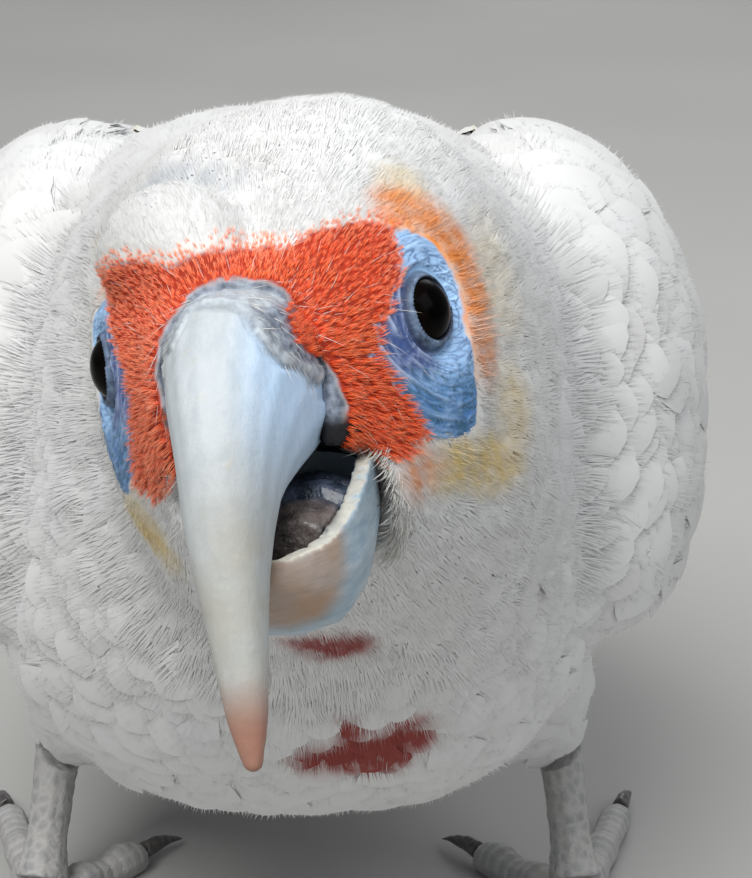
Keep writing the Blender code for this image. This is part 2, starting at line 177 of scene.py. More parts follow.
# soft stains on the plumage, and painted shade in the crease behind the forehead dome (shadow): middle in
# head millimetres, half sizes, strength
stainsAndShadow = {
    "orange": (
        ((17.8, 1.8, 11.2), (4.5, 4.6, 3.4), 1.0),
        ((20.0, 4.4, 9.6), (4.5, 4.6, 4.0), 1.0),
        ((22.0, 6.2, 6.0), (4.5, 4.8, 5.0), 1.0),
        ((23.0, 6.8, 1.0), (4.5, 4.2, 5.0), 0.9),
        ((23.3, 7.2, -5.0), (4.5, 3.8, 5.0), 0.6),
        ((16.5, -4.5, -18.6), (4.0, 4.0, 3.0), 0.6),
        ((-19.5, 4.5, 12.0), (4.0, 4.0, 4.0), 0.8),
    ),
    "yellow": (
        ((22.4, 8.0, -19.0), (5.5, 9.0, 3.6), 1.0),
        ((19.5, 0.5, -18.4), (4.5, 4.5, 3.2), 0.9),
        ((25.0, 13.5, -13.5), (4.0, 5.0, 6.0), 0.55),
        ((-18.3, 1.0, -20.2), (5.0, 6.5, 5.5), 1.0),
        ((18.0, 5.0, 14.5), (4.0, 4.0, 3.0), 0.6),
        ((-18.5, 1.0, 13.5), (4.0, 4.0, 3.0), 0.5),
        ((26.0, 15.0, 3.0), (4.0, 6.0, 8.0), 0.35),
    ),
    # painted shade: the crease between the raised forehead feathers and the crown
    "shadow": (
        ((-16.5, -2.0, 15.5), (1.6, 3.5, 3.0), 0.6),
        ((-16.0, 4.0, 18.5), (2.4, 3.2, 2.2), 0.7),
        ((-12.6, 7.3, 20.2), (3.0, 2.6, 1.8), 0.7),
        ((-8.4, 5.6, 20.2), (3.0, 2.6, 1.6), 0.7),
        ((-4.7, 2.0, 19.2), (3.0, 2.4, 1.6), 0.6),
        ((-1.0, -1.4, 17.9), (2.6, 2.2, 1.6), 0.4),
    ),
    # rose: the red throat band and a few red specks; its colour is darkened as painted shade
    "rose": (
        ((-2.8, 16.5, -37.0), (5.5, 6.5, 4.0), 1.0),
        ((-6.2, 38.0, -49.2), (1.8, 4.0, 3.0), 0.9),
        ((-12.0, 45.0, -54.0), (4.5, 4.5, 5.0), 0.9),
        ((-6.8, 45.5, -53.5), (5.5, 6.0, 5.5), 1.6),
        ((-1.5, 44.0, -52.0), (4.5, 4.5, 5.0), 1.1),
        ((20.5, 4.0, -25.5), (1.3, 1.3, 1.3), 0.8),
        ((21.5, 12.0, -33.0), (1.6, 1.6, 1.6), 0.6),
    ),
}


# a mask for each kind: real stains, and painted shade for the shadow kind
def stainAndShadowMask(q, kind):
    total = np.zeros(len(q))
    for middle, half, strength in stainsAndShadow[kind]:
        distance = np.linalg.norm((q - np.array(middle)) / np.array(half), axis=1)
        total = np.maximum(total, strength * ramp(distance, 1.45, 0.4))
    return np.clip(total * (0.85 + 0.45 * wobble(q, 0.9, 4.0)), 0.0, 1.0)


# small mesh helpers
def cadCopy(node, grow=0.0):
    form = bmesh.new()
    form.from_mesh(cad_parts[node].data)
    bmesh.ops.remove_doubles(form, verts=form.verts, dist=1e-6)
    if grow:
        form.normal_update()
        for vert in form.verts:
            vert.co += vert.normal * grow * mm
    return form


def ballForm(centre, radii, turn=None, rings=16):
    form = bmesh.new()
    bmesh.ops.create_uvsphere(form, u_segments=2 * rings, v_segments=rings, radius=1.0)
    place = Matrix.Translation(Vector(centre))
    if turn is not None:
        place = place @ Matrix(turn.tolist()).to_4x4()
    bmesh.ops.transform(form, matrix=place @ Matrix.Diagonal((*radii, 1.0)), verts=form.verts)
    return form


def meshFrom(name, forms):
    merged = bmesh.new()
    for form in forms:
        part = bpy.data.meshes.new("part")
        form.to_mesh(part)
        form.free()
        merged.from_mesh(part)
        bpy.data.meshes.remove(part)
    mesh = bpy.data.meshes.new(name)
    merged.to_mesh(mesh)
    merged.free()
    return mesh


def showPiece(name, mesh, material=None, smooth=True):
    piece = bpy.data.objects.new(name, mesh)
    bpy.context.scene.collection.objects.link(piece)
    if material is not None:
        mesh.materials.clear()
        mesh.materials.append(material)
    if smooth:
        mesh.shade_smooth()
    return piece


def voxelMesh(name, forms, voxel):
    holder = showPiece("holder", meshFrom(name, forms))
    remesh = holder.modifiers.new("remesh", "REMESH")
    remesh.mode = "VOXEL"
    remesh.voxel_size = voxel * mm
    bpy.context.view_layer.update()
    ready = holder.evaluated_get(bpy.context.evaluated_depsgraph_get())
    mesh = bpy.data.meshes.new_from_object(ready)
    mesh.name = name
    bpy.data.objects.remove(holder)
    return mesh


def vertsOf(mesh):
    flat = np.empty(len(mesh.vertices) * 3)
    mesh.vertices.foreach_get("co", flat)
    return flat.reshape(-1, 3)


def setVerts(mesh, points):
    mesh.vertices.foreach_set("co", np.ascontiguousarray(points, dtype=np.float32).ravel())
    mesh.update()


def normalsOf(mesh):
    flat = np.empty(len(mesh.vertices) * 3)
    mesh.vertices.foreach_get("normal", flat)
    return flat.reshape(-1, 3)


def edgesOf(mesh):
    flat = np.empty(len(mesh.edges) * 2, dtype=np.int64)
    mesh.edges.foreach_get("vertices", flat)
    return flat.reshape(-1, 2)


def averaged(values, edges, rounds, share=1.0):
    # each round moves a value towards the mean of its neighbours
    count = len(values)
    a, b = edges[:, 0], edges[:, 1]
    degree = np.maximum(np.bincount(a, minlength=count) + np.bincount(b, minlength=count), 1)
    columns = values.reshape(count, -1).astype(float)
    for _ in range(rounds):
        for k in range(columns.shape[1]):
            column = columns[:, k]
            total = np.bincount(a, column[b], count) + np.bincount(b, column[a], count)
            columns[:, k] = column + share * (total / degree - column)
    return columns.reshape(values.shape)


def relax(mesh, rounds, hold=None):
    # smooths without shrinking: a step in, then a slightly larger step out
    points, edges = vertsOf(mesh), edgesOf(mesh)
    keep = 0.0 if hold is None else hold[:, None]
    for _ in range(rounds):
        moved = averaged(points, edges, 1, 0.5)
        moved = averaged(moved, edges, 1, -0.52)
        points = points * keep + moved * (1.0 - keep)
    setVerts(mesh, points)


def setFloats(mesh, name, values):
    layer = mesh.attributes.new(name, "FLOAT", "POINT")
    layer.data.foreach_set("value", np.ascontiguousarray(values, dtype=np.float32))


def trianglesOf(mesh):
    mesh.calc_loop_triangles()
    corners = np.empty(len(mesh.loop_triangles) * 3, dtype=np.int32)
    mesh.loop_triangles.foreach_get("vertices", corners)
    return corners.reshape(-1, 3)


def treeOf(mesh):
    return BVHTree.FromPolygons(vertsOf(mesh).tolist(), trianglesOf(mesh).tolist())


# the skin
skinLook = {
    "voxel": 1.9,
    "grow": 0.7,
    "headDepth": 1.3,
    "bodyDepth": 2.9,
    "bristleDepth": 0.35,
    "rounds": 12,
    "bodyRounds": 60,
    # swellings added to the flesh, in head millimetres: the pocket that holds the bill, cheek and chin
    "swellings": (
        ((0.5, -8.6, -4.4), (9.2, 8.6, 10.6)),
        ((13.4, -5.5, -19.5), (2.3, 5.5, 7.0)),
        ((-9.3, -6.5, -20.5), (2.3, 5.5, 6.0)),
    ),
    "domeMiddle": (-8.8, 12.0),
    "domeHalf": (10.5, 8.0),
    "domeHigh": 3.8,
    "crease": 1.9,
}
eyeLook = {
    "radius": 5.6,
    "opening": 3.55,
    "lidWidth": 0.66,
    "lowerExtra": 0.45,
    "lidHigh": 0.42,
    "lowerLid": 0.6,
    "blend": 3.6,
    "sunk": 0.9,
    "moat": 0.35,
    "moatWide": 1.2,
    # small round scales on the lid, and how high they and the rows behind them stand
    "beads": 46,
    "beadHigh": 0.06,
    "rowHigh": 0.04,
    "look": (0.903, -0.428, 0.048),
}
fleshNodes = ["trunk", "neck", "head", "thigh_left", "thigh_right", "wing_left", "wing_right"]


def eyeAxis(side):
    aim = np.array(eyeLook["look"]) * (side, 1.0, 1.0)
    return headAxes @ (aim / np.linalg.norm(aim))


def eyeRound(points, side, name):
    # height along the eye's axis, distance from it and angle round it, in millimetres
    axis = eyeAxis(side)
    up = unit(headAxes[:, 2] - axis * (headAxes[:, 2] @ axis))
    back = np.cross(up, axis) * -side
    offset = (points - eyeCentre[name]) / mm
    high = offset @ axis
    across, along = offset @ back, offset @ up
    return high, np.hypot(across * 1.07, along), np.arctan2(across, along), axis


def coatDepth(marks):
    # how far the skin lies inside the bird's outline
    naked = np.maximum.reduce([marks["bare"], marks["cere"], marks["gape"]])
    near = ramp(marks["away"], 0.0, 9.0)
    fromBill = np.linalg.norm(marks["head"] - np.array((0.0, -16.0, -5.0)), axis=1)
    body = ramp(fromBill, 45.0, 85.0)
    depth = skinLook["bristleDepth"] + (skinLook["headDepth"] - skinLook["bristleDepth"]) * near
    depth = depth + (skinLook["bodyDepth"] - skinLook["headDepth"]) * body
    return depth * (1.0 - naked) * (1.0 - coatLook["onThigh"] * onThigh(marks))


def foreheadDome(q):
    # the raised feathers over the bill end in a soft step towards the crown
    middle, half = skinLook["domeMiddle"], skinLook["domeHalf"]
    far = np.hypot((q[:, 0] - middle[0]) / half[0], (q[:, 2] - middle[1]) / half[1])
    high = skinLook["domeHigh"] * np.sqrt(np.clip(1.0 - far**2, 0.0, 1.0))
    crease = skinLook["crease"] * np.exp(-(((far - 1.15) / 0.22) ** 2))
    return (high - crease) * ramp(q[:, 2], 5.0, 11.0) * ramp(q[:, 1], 14.0, 9.0)


def finer(mesh, chosen):
    form = bmesh.new()
    form.from_mesh(mesh)
    form.verts.ensure_lookup_table()
    picked = [edge for edge in form.edges if chosen[edge.verts[0].index] and chosen[edge.verts[1].index]]
    bmesh.ops.subdivide_edges(form, edges=picked, cuts=1, use_grid_fill=True)
    form.to_mesh(mesh)
    form.free()


def buildSkin():
    forms = [cadCopy(node, skinLook["grow"]) for node in fleshNodes]
    for name in sides:
        forms.append(ballForm(eyeCentre[name], [(eyeLook["radius"] + 0.3) * mm] * 3))
    for middle, half in skinLook["swellings"]:
        forms.append(ballForm(fromHead(middle), np.array(half) * mm, headAxes))
    mesh = voxelMesh("skin", forms, skinLook["voxel"])
    relax(mesh, skinLook["rounds"])
    fromFace = np.linalg.norm(toHead(vertsOf(mesh)), axis=1)
    relax(mesh, skinLook["bodyRounds"], hold=1.0 - ramp(fromFace, 30.0, 55.0))
    points, normals, edges = vertsOf(mesh), normalsOf(mesh), edgesOf(mesh)
    marks = markings(points)
    depth = coatDepth(marks) + skinLook["grow"]
    # thin places, such as the rear of the wing, give up at most a quarter of their thickness
    tree = treeOf(mesh)
    for i in range(len(points)):
        start = points[i] - normals[i] * 1e-5
        hit = tree.ray_cast(Vector(start), Vector(-normals[i]), 0.02)
        if hit[3] is not None:
            depth[i] = min(depth[i], max(hit[3] / mm * 0.25, 0.3))
    depth = averaged(depth, edges, 6) - foreheadDome(marks["head"])
    setVerts(mesh, points - normals * depth[:, None] * mm)
    relax(mesh, 3)
    for level in range(4):
        marks = markings(vertsOf(mesh))
        front = (marks["head"][:, 1] < 14.0) & (np.linalg.norm(marks["head"], axis=1) < 42.0)
        if level == 0:
            chosen = (marks["away"] < 6.0) | (marks["gape"] > 0.01)
        elif level == 1:
            chosen = (marks["away"] < 1.5) | (marks["gape"] > 0.01)
        elif level == 2:
            chosen = marks["bare"] > 0.01
        else:
            chosen = (marks["bare"] > 0.05) & (marks["lidFar"] < 6.0)
        finer(mesh, chosen & front)
        relax(mesh, 2, hold=(~(np.linalg.norm(toHead(vertsOf(mesh)), axis=1) < 40)).astype(float))
    return mesh


def lidWidth(turn):
    # the lid is wider below the eye
    return eyeLook["lidWidth"] + eyeLook["lowerExtra"] * ramp(-np.cos(turn), -0.2, 0.9)


def carveLids(mesh):
    for name, side in sides.items():
        points = vertsOf(mesh)
        high, away, turn, axis = eyeRound(points, side, name)
        near = (away < eyeLook["opening"] + eyeLook["lidWidth"] + eyeLook["blend"]) & (high > 0.0)
        radius, opening, width = eyeLook["radius"], eyeLook["opening"], lidWidth(turn)
        under = np.cos(turn) < 0
        ball = np.sqrt(np.maximum(radius**2 - away**2, 0.0))
        rim = math.sqrt(radius**2 - opening**2)
        onLid = np.clip((away - opening) / width, 0.0, 1.0)
        raised = eyeLook["lidHigh"] + (eyeLook["lowerLid"] - eyeLook["lidHigh"]) * under
        # a row of small round scales sits on the lid, and two fainter rows behind it
        beads = np.cos(eyeLook["beads"] * turn) * np.sin(math.pi * np.clip(onLid * 2.2, 0, 1))
        beads = eyeLook["beadHigh"] * beads + eyeLook["rowHigh"] * np.cos(onLid * 19.0) * onLid
        lid = rim - 0.55 * onLid * width + raised * np.sin(math.pi * onLid) ** 0.6 + beads
        inside = ball - eyeLook["sunk"] * ramp(opening - away, -0.05, 0.5) - 0.1
        target = np.where(away < opening, np.minimum(inside, rim - 0.1), lid)
        # beyond the lid a shallow moat, then the skin's own height
        beyond = away - opening - width
        moat = lid - eyeLook["moat"] * np.sin(np.clip(beyond / eyeLook["moatWide"], 0, 1) * math.pi)
        share = ramp(beyond, 0.0, eyeLook["blend"])
        target = np.where(beyond > 0, moat * (1 - share) + high * share, target)
        shift = np.where(near, target - high, 0.0)
        setVerts(mesh, points + shift[:, None] * axis * mm)


foldLook = {"gap": 2.1, "high": 0.30, "low": 0.06, "rollHigh": 0.28, "rollLow": 0.12}


def wrinkleFace(mesh):
    points, normals = vertsOf(mesh), normalsOf(mesh)
    marks = markings(points)
    q = marks["head"]
    fold, dark = np.zeros(len(points)), np.zeros(len(points))
    for i in np.flatnonzero(marks["bare"] > 0.02):
        # folds run round the eye: strong upright strings in front of it, fine level ones below it
        x, y, z = q[i]
        side = x / abs(x)
        dy, dz = y - headPose["eyeBack"], z - headPose["eyeUp"]
        far = math.hypot(dy, dz)
        turn = math.atan2(dz, dy)
        sway = 0.9 * noise.noise(Vector((turn * 1.3, far * 0.25, 3.0 * side)))
        ahead = min(max((0.8 - dy) / 3.5, 0.0), 1.0)
        broken = min(max(noise.noise(Vector((turn * 2.0, far * 0.8, 9.0 * side))) * 2.4 + 0.55, 0.0), 1.0)
        strong = (0.5 + 0.5 * math.cos((far + sway) * 2 * math.pi / foldLook["gap"])) ** 7
        slight = 1.0 - abs(noise.noise(Vector((turn * 2.4 + side, far * 1.15, 5.0)))) * 4.5
        spokes = 1.0 - abs(noise.noise(Vector((turn * 5.0, far * 0.5, 7.0)))) * 6.0
        fine = 0.5 * max(slight, 0.0) ** 1.5 + 0.35 * max(spokes, 0.0) ** 2
        fold[i] = max(strong * broken * (0.15 + 0.85 * ahead), fine)
        lines = 1.0 - abs(noise.noise(Vector((turn * 3.2 + 4.0, far * 2.1 + side, 8.0)))) * 4.0
        dark[i] = max(lines, 0.0) ** 1.3 * (1.0 - fold[i])
    fold *= marks["bare"]
    away = np.ones(len(points))
    for name, side in sides.items():
        high, far = eyeRound(points, side, name)[:2]
        on = (high > 0) & (far < eyeLook["opening"] + eyeLook["lidWidth"] + 0.9)
        away[on] = 0.15
    rise = (foldLook["high"] * fold - foldLook["low"]) * marks["bare"] * away
    # a smooth pale roll at the root of the bill, mottled skin between it and the red
    roll = ramp(marks["cereIn"] + 0.35 * wobble(q, 1.8, 5.0), 0.6, 1.7) * ramp(marks["angle"], 58.0, 38.0)
    rise += (foldLook["rollHigh"] * roll - foldLook["rollLow"]) * marks["cere"]
    setVerts(mesh, points + normals * rise[:, None] * mm)
    setFloats(mesh, "fold", fold * away)
    setFloats(mesh, "furrow", dark * marks["bare"] * away)
    setFloats(mesh, "roll", roll * marks["cere"])


def markPoints(mesh):
    marks = markings(vertsOf(mesh))
    for name in ("red", "bare", "cere"):
        setFloats(mesh, name, marks[name])
    # the near-black of the mouth reaches a little past the gape: painted shade in the opening
    inMouth = (marks["head"] - np.array(mouth["middle"])) / (np.array(mouth["half"]) + 3.0)
    dark = ramp(np.linalg.norm(inMouth, axis=1), 1.1, 0.95) * ramp(marks["head"][:, 0], 12.4, 11.8)
    setFloats(mesh, "gape", np.maximum(marks["gape"], dark))
    # the shadow mask is painted shade, the others are stains
    for name in ("orange", "yellow", "shadow", "rose"):
        setFloats(mesh, name, stainAndShadowMask(marks["head"], name))
    return marks


def markPatch(mesh, marks):
    # where the bare skin turns dark or violet, and the rings of the lid
    q = marks["head"]
    setFloats(mesh, "bareLow", ramp(q[:, 2], -5.0, -11.0))
    inFront = ramp(q[:, 1], 1.0, -3.0) * ramp(q[:, 2], -9.5, -6.0) * ramp(q[:, 2], 6.0, 1.5)
    setFloats(mesh, "bareFront", inFront)
    lid, line = np.zeros(len(q)), np.zeros(len(q))
    for name, side in sides.items():
        high, away, turn = eyeRound(vertsOf(mesh), side, name)[:3]
        opening, width = eyeLook["opening"], lidWidth(turn)
        ring = ramp(away, opening + width + 0.2, opening + width - 0.1)
        lid = np.maximum(lid, ring * (high > 0))
        inner = ramp(away, opening + 0.35, opening + 0.05)
        outer = ramp(np.abs(away - opening - width - 0.15), 0.32, 0.05)
        line = np.maximum(line, np.maximum(inner, 0.6 * outer) * (high > 0))
    setFloats(mesh, "lid", lid)
    setFloats(mesh, "lidLine", line)


# bill and tongue
hornEdge = {
    # where the smooth horn ends and the swollen skin of its root begins
    "angle": (0, 22, 31, 41, 57, 71, 78, 88, 93, 100, 106, 114, 125),
    "reach": (7.4, 7.3, 7.2, 6.8, 6.35, 6.2, 6.4, 7.1, 7.8, 8.5, 8.95, 9.4, 12.0),
}


def pastHorn(q):
    # how far a point lies beyond the horn's edge, and its angle from straight above
    x, z = q[:, 0] - faceMap["middleX"], q[:, 2] - faceMap["middleZ"]
    angle = np.degrees(np.abs(np.arctan2(x, z)))
    edge = np.interp(angle, hornEdge["angle"], hornEdge["reach"])
    edge = edge - 1.6 * ramp(x, -1.5, -3.1) * ramp(angle, 60.0, 45.0)
    edge = edge + 60.0 * ramp(angle, 116.0, 128.0)
    return np.hypot(x, z) - edge + 0.25 * wobble(q, 1.5, 6.0), angle


billLook = {
    "voxel": 0.36,
    "rounds": 190,
    "slim": 0.2,
    # heights in millimetres
    "grain": 0.0042,
    "lumps": 0.01225,
    "pits": 0.12,
    "flankLines": 0.006,
    "rootRough": 0.22,
    "rootGroove": 0.30,
    "rootRidge": 0.30,
}
jawLook = {"voxel": 0.36, "rounds": 10, "fibres": 0.07, "chips": 0.9}
tongueLook = {"voxel": 0.3, "rounds": 6, "swell": 0.25, "folds": (-11.8, -16.2), "foldDeep": 1.3}


def softCopy(name, node, look):
    mesh = voxelMesh(name, [cadCopy(node)], look["voxel"])
    relax(mesh, look["rounds"])
    return mesh


def buildUpperBill():
    mesh = softCopy("upperBill", "bill_upper", billLook)
    points, normals = vertsOf(mesh), normalsOf(mesh)
    q = toHead(points)
    slim = billLook["slim"] * ramp(q[:, 2], -24.0, -10.0) * (q[:, 0] < 0.5)
    points = points + ((0.5 - q[:, 0]) * slim * mm)[:, None] * headAxes[:, 0]
    rise = np.zeros(len(points))
    for i in range(len(points)):
        x, y, z = q[i]
        # growth ridges run down the bill, so the pattern is stretched along it
        grain = noise.noise(Vector((x * 1.5, (y + z) * 0.10, (y - z) * 0.12)))
        lump = noise.noise(Vector((x * 0.35, y * 0.16, z * 0.16 + 4.0)))
        pit = max(noise.noise(Vector((x * 1.9, y * 1.3, z * 1.3 + 9.0))) - 0.34, 0.0)
        rise[i] = billLook["grain"] * grain + billLook["lumps"] * lump - billLook["pits"] * pit
    # fine slanting lines on the flank near the cutting edge
    flank = ramp(np.abs(q[:, 0] - 0.5), 4.2, 7.0) * ramp(q[:, 2], -27.0, -16.0)
    rise += billLook["flankLines"] * np.sin((q[:, 2] * 0.8 - q[:, 1] * 1.1) * 5.2) * flank
    # at the root a groove, a soft ridge and rough skin
    past = pastHorn(q)[0]
    rough = billLook["rootRough"] * np.abs(wobble(q, 0.75, 8.0)) + 0.12 * wobble(q, 0.4, 3.0) - 0.12
    rise += ramp(past, 0.0, 0.5) * rough
    rise -= billLook["rootGroove"] * np.exp(-((past / 0.22) ** 2))
    rise += billLook["rootRidge"] * np.exp(-(((past - 0.75) / 0.45) ** 2))
    setVerts(mesh, points + normals * rise[:, None] * mm)
    markUpperBill(mesh)
    return mesh


def markUpperBill(mesh):
    points = vertsOf(mesh)
    q = toHead(points)
    past, angle = pastHorn(q)
    red = markings(points)["red"] * ramp(past, 0.6, 1.4) * ramp(angle, 116.0, 104.0)
    ridge = np.maximum(np.exp(-(((past - 0.75) / 0.5) ** 2)), 0.75 * ramp(angle, 50.0, 34.0))
    # painted light: ivory over the lit side of the bill, blue-grey over the shaded flank
    setFloats(mesh, "billLitSide", ramp(q[:, 0], 8.0, 2.5))
    # creamier and darker towards the lower end of the bill: a real cream tint, darkened as painted shade
    setFloats(mesh, "creamAndShade", ramp(q[:, 2], -7.0, -28.0))
    setFloats(mesh, "tip", ramp(q[:, 2], -33.0, -41.0))
    setFloats(mesh, "root", ramp(past, -0.1, 0.3))
    setFloats(mesh, "rootLine", np.exp(-((past / 0.2) ** 2)))
    setFloats(mesh, "ridge", ridge)
    setFloats(mesh, "red", red)


def buildLowerBill():
    mesh = softCopy("lowerBill", "bill_lower", jawLook)
    points, normals = vertsOf(mesh), normalsOf(mesh)
    q = toHead(points)
    rise = np.zeros(len(points))
    for i in range(len(points)):
        x, y, z = q[i]
        fibre = noise.noise(Vector((x * 0.5, y * 0.45, z * 2.4)))
        chip = max(noise.noise(Vector((x * 1.2, y * 1.2, z * 1.2 + 2.0))) - 0.12, 0.0)
        upward = max(normals[i] @ headAxes[:, 2], 0.0)
        chipped = jawLook["chips"] * chip * upward if upward > 0.35 else 0.0
        rise[i] = jawLook["fibres"] * fibre - chipped
    setVerts(mesh, points + normals * rise[:, None] * mm)
    q = toHead(vertsOf(mesh))
    up = normalsOf(mesh) @ headAxes[:, 2]
    # the inner faces under the upper bill are marked for painted shade
    inside = ramp(np.abs(q[:, 0] - 2.4), 7.5, 5.5) * ramp(q[:, 1], -23.0, -20.5) * ramp(up, 0.1, 0.4)
    setFloats(mesh, "front", ramp(q[:, 1], -20.5, -24.5))
    setFloats(mesh, "ledge", ramp(up, 0.45, 0.75) * ramp(q[:, 2], -27.5, -25.0))
    setFloats(mesh, "inside", inside)
    return mesh


def buildTongue():
    mesh = softCopy("tongue", "tongue", tongueLook)
    points, normals = vertsOf(mesh), normalsOf(mesh)
    q = toHead(points)
    # deep folds across the tongue, and a fine rough skin
    rise = tongueLook["swell"] + 0.10 * np.abs(wobble(q, 0.8, 3.0)) + 0.05 * wobble(q, 0.3, 7.0)
    for y in tongueLook["folds"]:
        rise -= tongueLook["foldDeep"] * np.exp(-(((q[:, 1] - y) / 0.8) ** 2))
    setVerts(mesh, points + normals * rise[:, None] * mm)
    setFloats(mesh, "worn", ramp(toHead(vertsOf(mesh))[:, 1], -16.5, -19.0))
    return mesh


# eyes
def buildEye(name, side):
    axis = eyeAxis(side)
    up = unit(headAxes[:, 2] - axis * (headAxes[:, 2] @ axis))
    turn = np.stack([np.cross(up, axis), up, axis], axis=1)
    radius = eyeLook["radius"] * mm
    form = ballForm(eyeCentre[name], (radius, radius, radius), turn, rings=40)
    for vert in form.verts:
        offset = np.array(vert.co) - eyeCentre[name]
        lean = (offset @ axis) / radius
        vert.co = Vector(eyeCentre[name] + offset + axis * 0.35 * mm * ramp(lean, 0.72, 1.0))
    mesh = meshFrom("eyeball_" + name, [form])
    offset = vertsOf(mesh) - eyeCentre[name]
    setFloats(mesh, "fromPupil", np.degrees(np.arccos(np.clip(unit(offset) @ axis, -1, 1))))
    return mesh


# nodes for materials
def newMaterial(name, sheen=0.0, coat=0.0, coatRough=0.1, specular=0.5, ior=1.5):
    material = bpy.data.materials.new(name)
    material.use_nodes = True
    tree = material.node_tree
    tree.nodes.clear()
    shader = tree.nodes.new("ShaderNodeBsdfPrincipled")
    out = tree.nodes.new("ShaderNodeOutputMaterial")
    tree.links.new(shader.outputs["BSDF"], out.inputs["Surface"])
    shader.inputs["Sheen Weight"].default_value = sheen
    shader.inputs["Sheen Roughness"].default_value = 0.5
    shader.inputs["Coat Weight"].default_value = coat
    shader.inputs["Coat Roughness"].default_value = coatRough
    shader.inputs["Specular IOR Level"].default_value = specular
    shader.inputs["IOR"].default_value = ior
    return material, tree, shader


def feed(tree, value, socket):
    # a socket takes a link, a colour or a plain value
    if isinstance(value, bpy.types.NodeSocket):
        tree.links.new(value, socket)
    elif socket.type == "RGBA":
        socket.default_value = (*value, 1.0)
    else:
        socket.default_value = value


def put(tree, kind, inputs=None, **settings):
    node = tree.nodes.new(kind)
    for key, value in settings.items():
        setattr(node, key, value)
    for key, value in (inputs or {}).items():
        feed(tree, value, node.inputs[key])
    return node


def maskNode(tree, name):
    return put(tree, "ShaderNodeAttribute", attribute_name=name).outputs["Fac"]


def mixed(tree, share, first, second):
    # all of the first colour at 0 and all of the second at 1
    return put(tree, "ShaderNodeMix", {0: share, 6: first, 7: second}, data_type="RGBA").outputs[2]


def maths(tree, operation, first, second=0.0, third=0.0, clamp=False):
    inputs = {0: first, 1: second, 2: third}
    return put(tree, "ShaderNodeMath", inputs, operation=operation, use_clamp=clamp).outputs[0]


def times(tree, first, second, clamp=False):
    return maths(tree, "MULTIPLY", first, second, clamp=clamp)


def ranged(tree, value, start, end, low=0.0, high=1.0):
    inputs = {"Value": value, "From Min": start, "From Max": end, "To Min": low, "To Max": high}
    return put(tree, "ShaderNodeMapRange", inputs).outputs["Result"]


def addBump(tree, shader, height, strength, distance):
    bump = put(tree, "ShaderNodeBump", {"Strength": strength, "Distance": distance * mm, "Height": height})
    tree.links.new(bump.outputs["Normal"], shader.inputs["Normal"])


def newGroup(name, inputs, outputs):
    group = bpy.data.node_groups.new(name, "ShaderNodeTree")
    for key, kind, default in inputs:
        socket = group.interface.new_socket(key, in_out="INPUT", socket_type="NodeSocket" + kind)
        socket.default_value = default
    for key, kind in outputs:
        group.interface.new_socket(key, in_out="OUTPUT", socket_type="NodeSocket" + kind)
    return group, group.nodes.new("NodeGroupInput"), group.nodes.new("NodeGroupOutput")


groups = {}


def useGroup(tree, name, **inputs):
    node = put(tree, "ShaderNodeGroup", node_tree=groups[name])
    for key, value in inputs.items():
        feed(tree, value, node.inputs[key])
    return node.outputs[0]


def cloudGroup():
    # an uneven cloud from 0 to 1, which every finish uses at its own size and stretch
    sockets = [("Scale", "Float", 100.0), ("Detail", "Float", 3.0), ("Roughness", "Float", 0.55)]
    sockets += [("Stretch", "Vector", (1.0, 1.0, 1.0)), ("Low", "Float", 0.35), ("High", "Float", 0.65)]
    group, given, result = newGroup("unevenCloud", sockets, [("Fac", "Float")])
    place = put(group, "ShaderNodeTexCoord").outputs["Object"]
    stretched = put(group, "ShaderNodeMapping", {"Vector": place, "Scale": given.outputs["Stretch"]})
    inputs = {key: given.outputs[key] for key in ("Scale", "Detail", "Roughness")}
    cloud = put(group, "ShaderNodeTexNoise", {"Vector": stretched.outputs["Vector"], **inputs}).outputs["Fac"]
    spread = ranged(group, cloud, given.outputs["Low"], given.outputs["High"])
    group.links.new(spread, result.inputs["Fac"])
    return group


def speckle(tree, scale, detail=3.0, rough=0.55, stretch=(1.0, 1.0, 1.0), low=0.35, high=0.65):
    inputs = {"Scale": scale, "Detail": detail, "Roughness": rough, "Stretch": stretch}
    return useGroup(tree, "cloud", Low=low, High=high, **inputs)


plumageColours = {
    "dull": (0.63, 0.62, 0.585),
    "worn": (0.57, 0.565, 0.545),
    "stainsAndShadow": {  # colour and strength
        # shadow is painted shade for the forehead crease
        "shadow": ((0.42, 0.46, 0.52), 1.0),
        "yellow": ((0.78, 0.60, 0.26), 0.9),
        "orange": ((0.87, 0.29, 0.05), 1.0),
        # the real red of the throat band, darkened as painted shade
        "rose": ((0.24, 0.010, 0.003), 1.3),
    },
    "body": (0.745, 0.755, 0.76),
    "hair": (0.62, 0.61, 0.58),
    "flight": (0.775, 0.77, 0.75),
    "shaft": (0.72, 0.69, 0.60),
}


def plumageGroup():
    # the one set of plumage colours, used by the skin under the coat and by every feather
    sockets = [("White", "Color", (0.86, 0.85, 0.82, 1.0)), ("Shade", "Float", 0.5)]
    group, given, result = newGroup("plumageColour", sockets, [("Color", "Color")])
    look = plumageColours
    dull = times(group, speckle(group, 38.0), 0.22)
    colour = mixed(group, dull, given.outputs["White"], look["dull"])
    colour = mixed(group, times(group, given.outputs["Shade"], 0.16), colour, look["worn"])
    uneven = maths(group, "MULTIPLY_ADD", speckle(group, 170.0, detail=4.0), 0.5, 0.8)
    # stains tint the colour, and the shadow mask darkens it as painted shade
    for name, (tint, strength) in look["stainsAndShadow"].items():
        share = times(group, times(group, maskNode(group, name), strength), uneven, clamp=True)
        colour = mixed(group, share, colour, tint)
    group.links.new(colour, result.inputs["Color"])
    return group


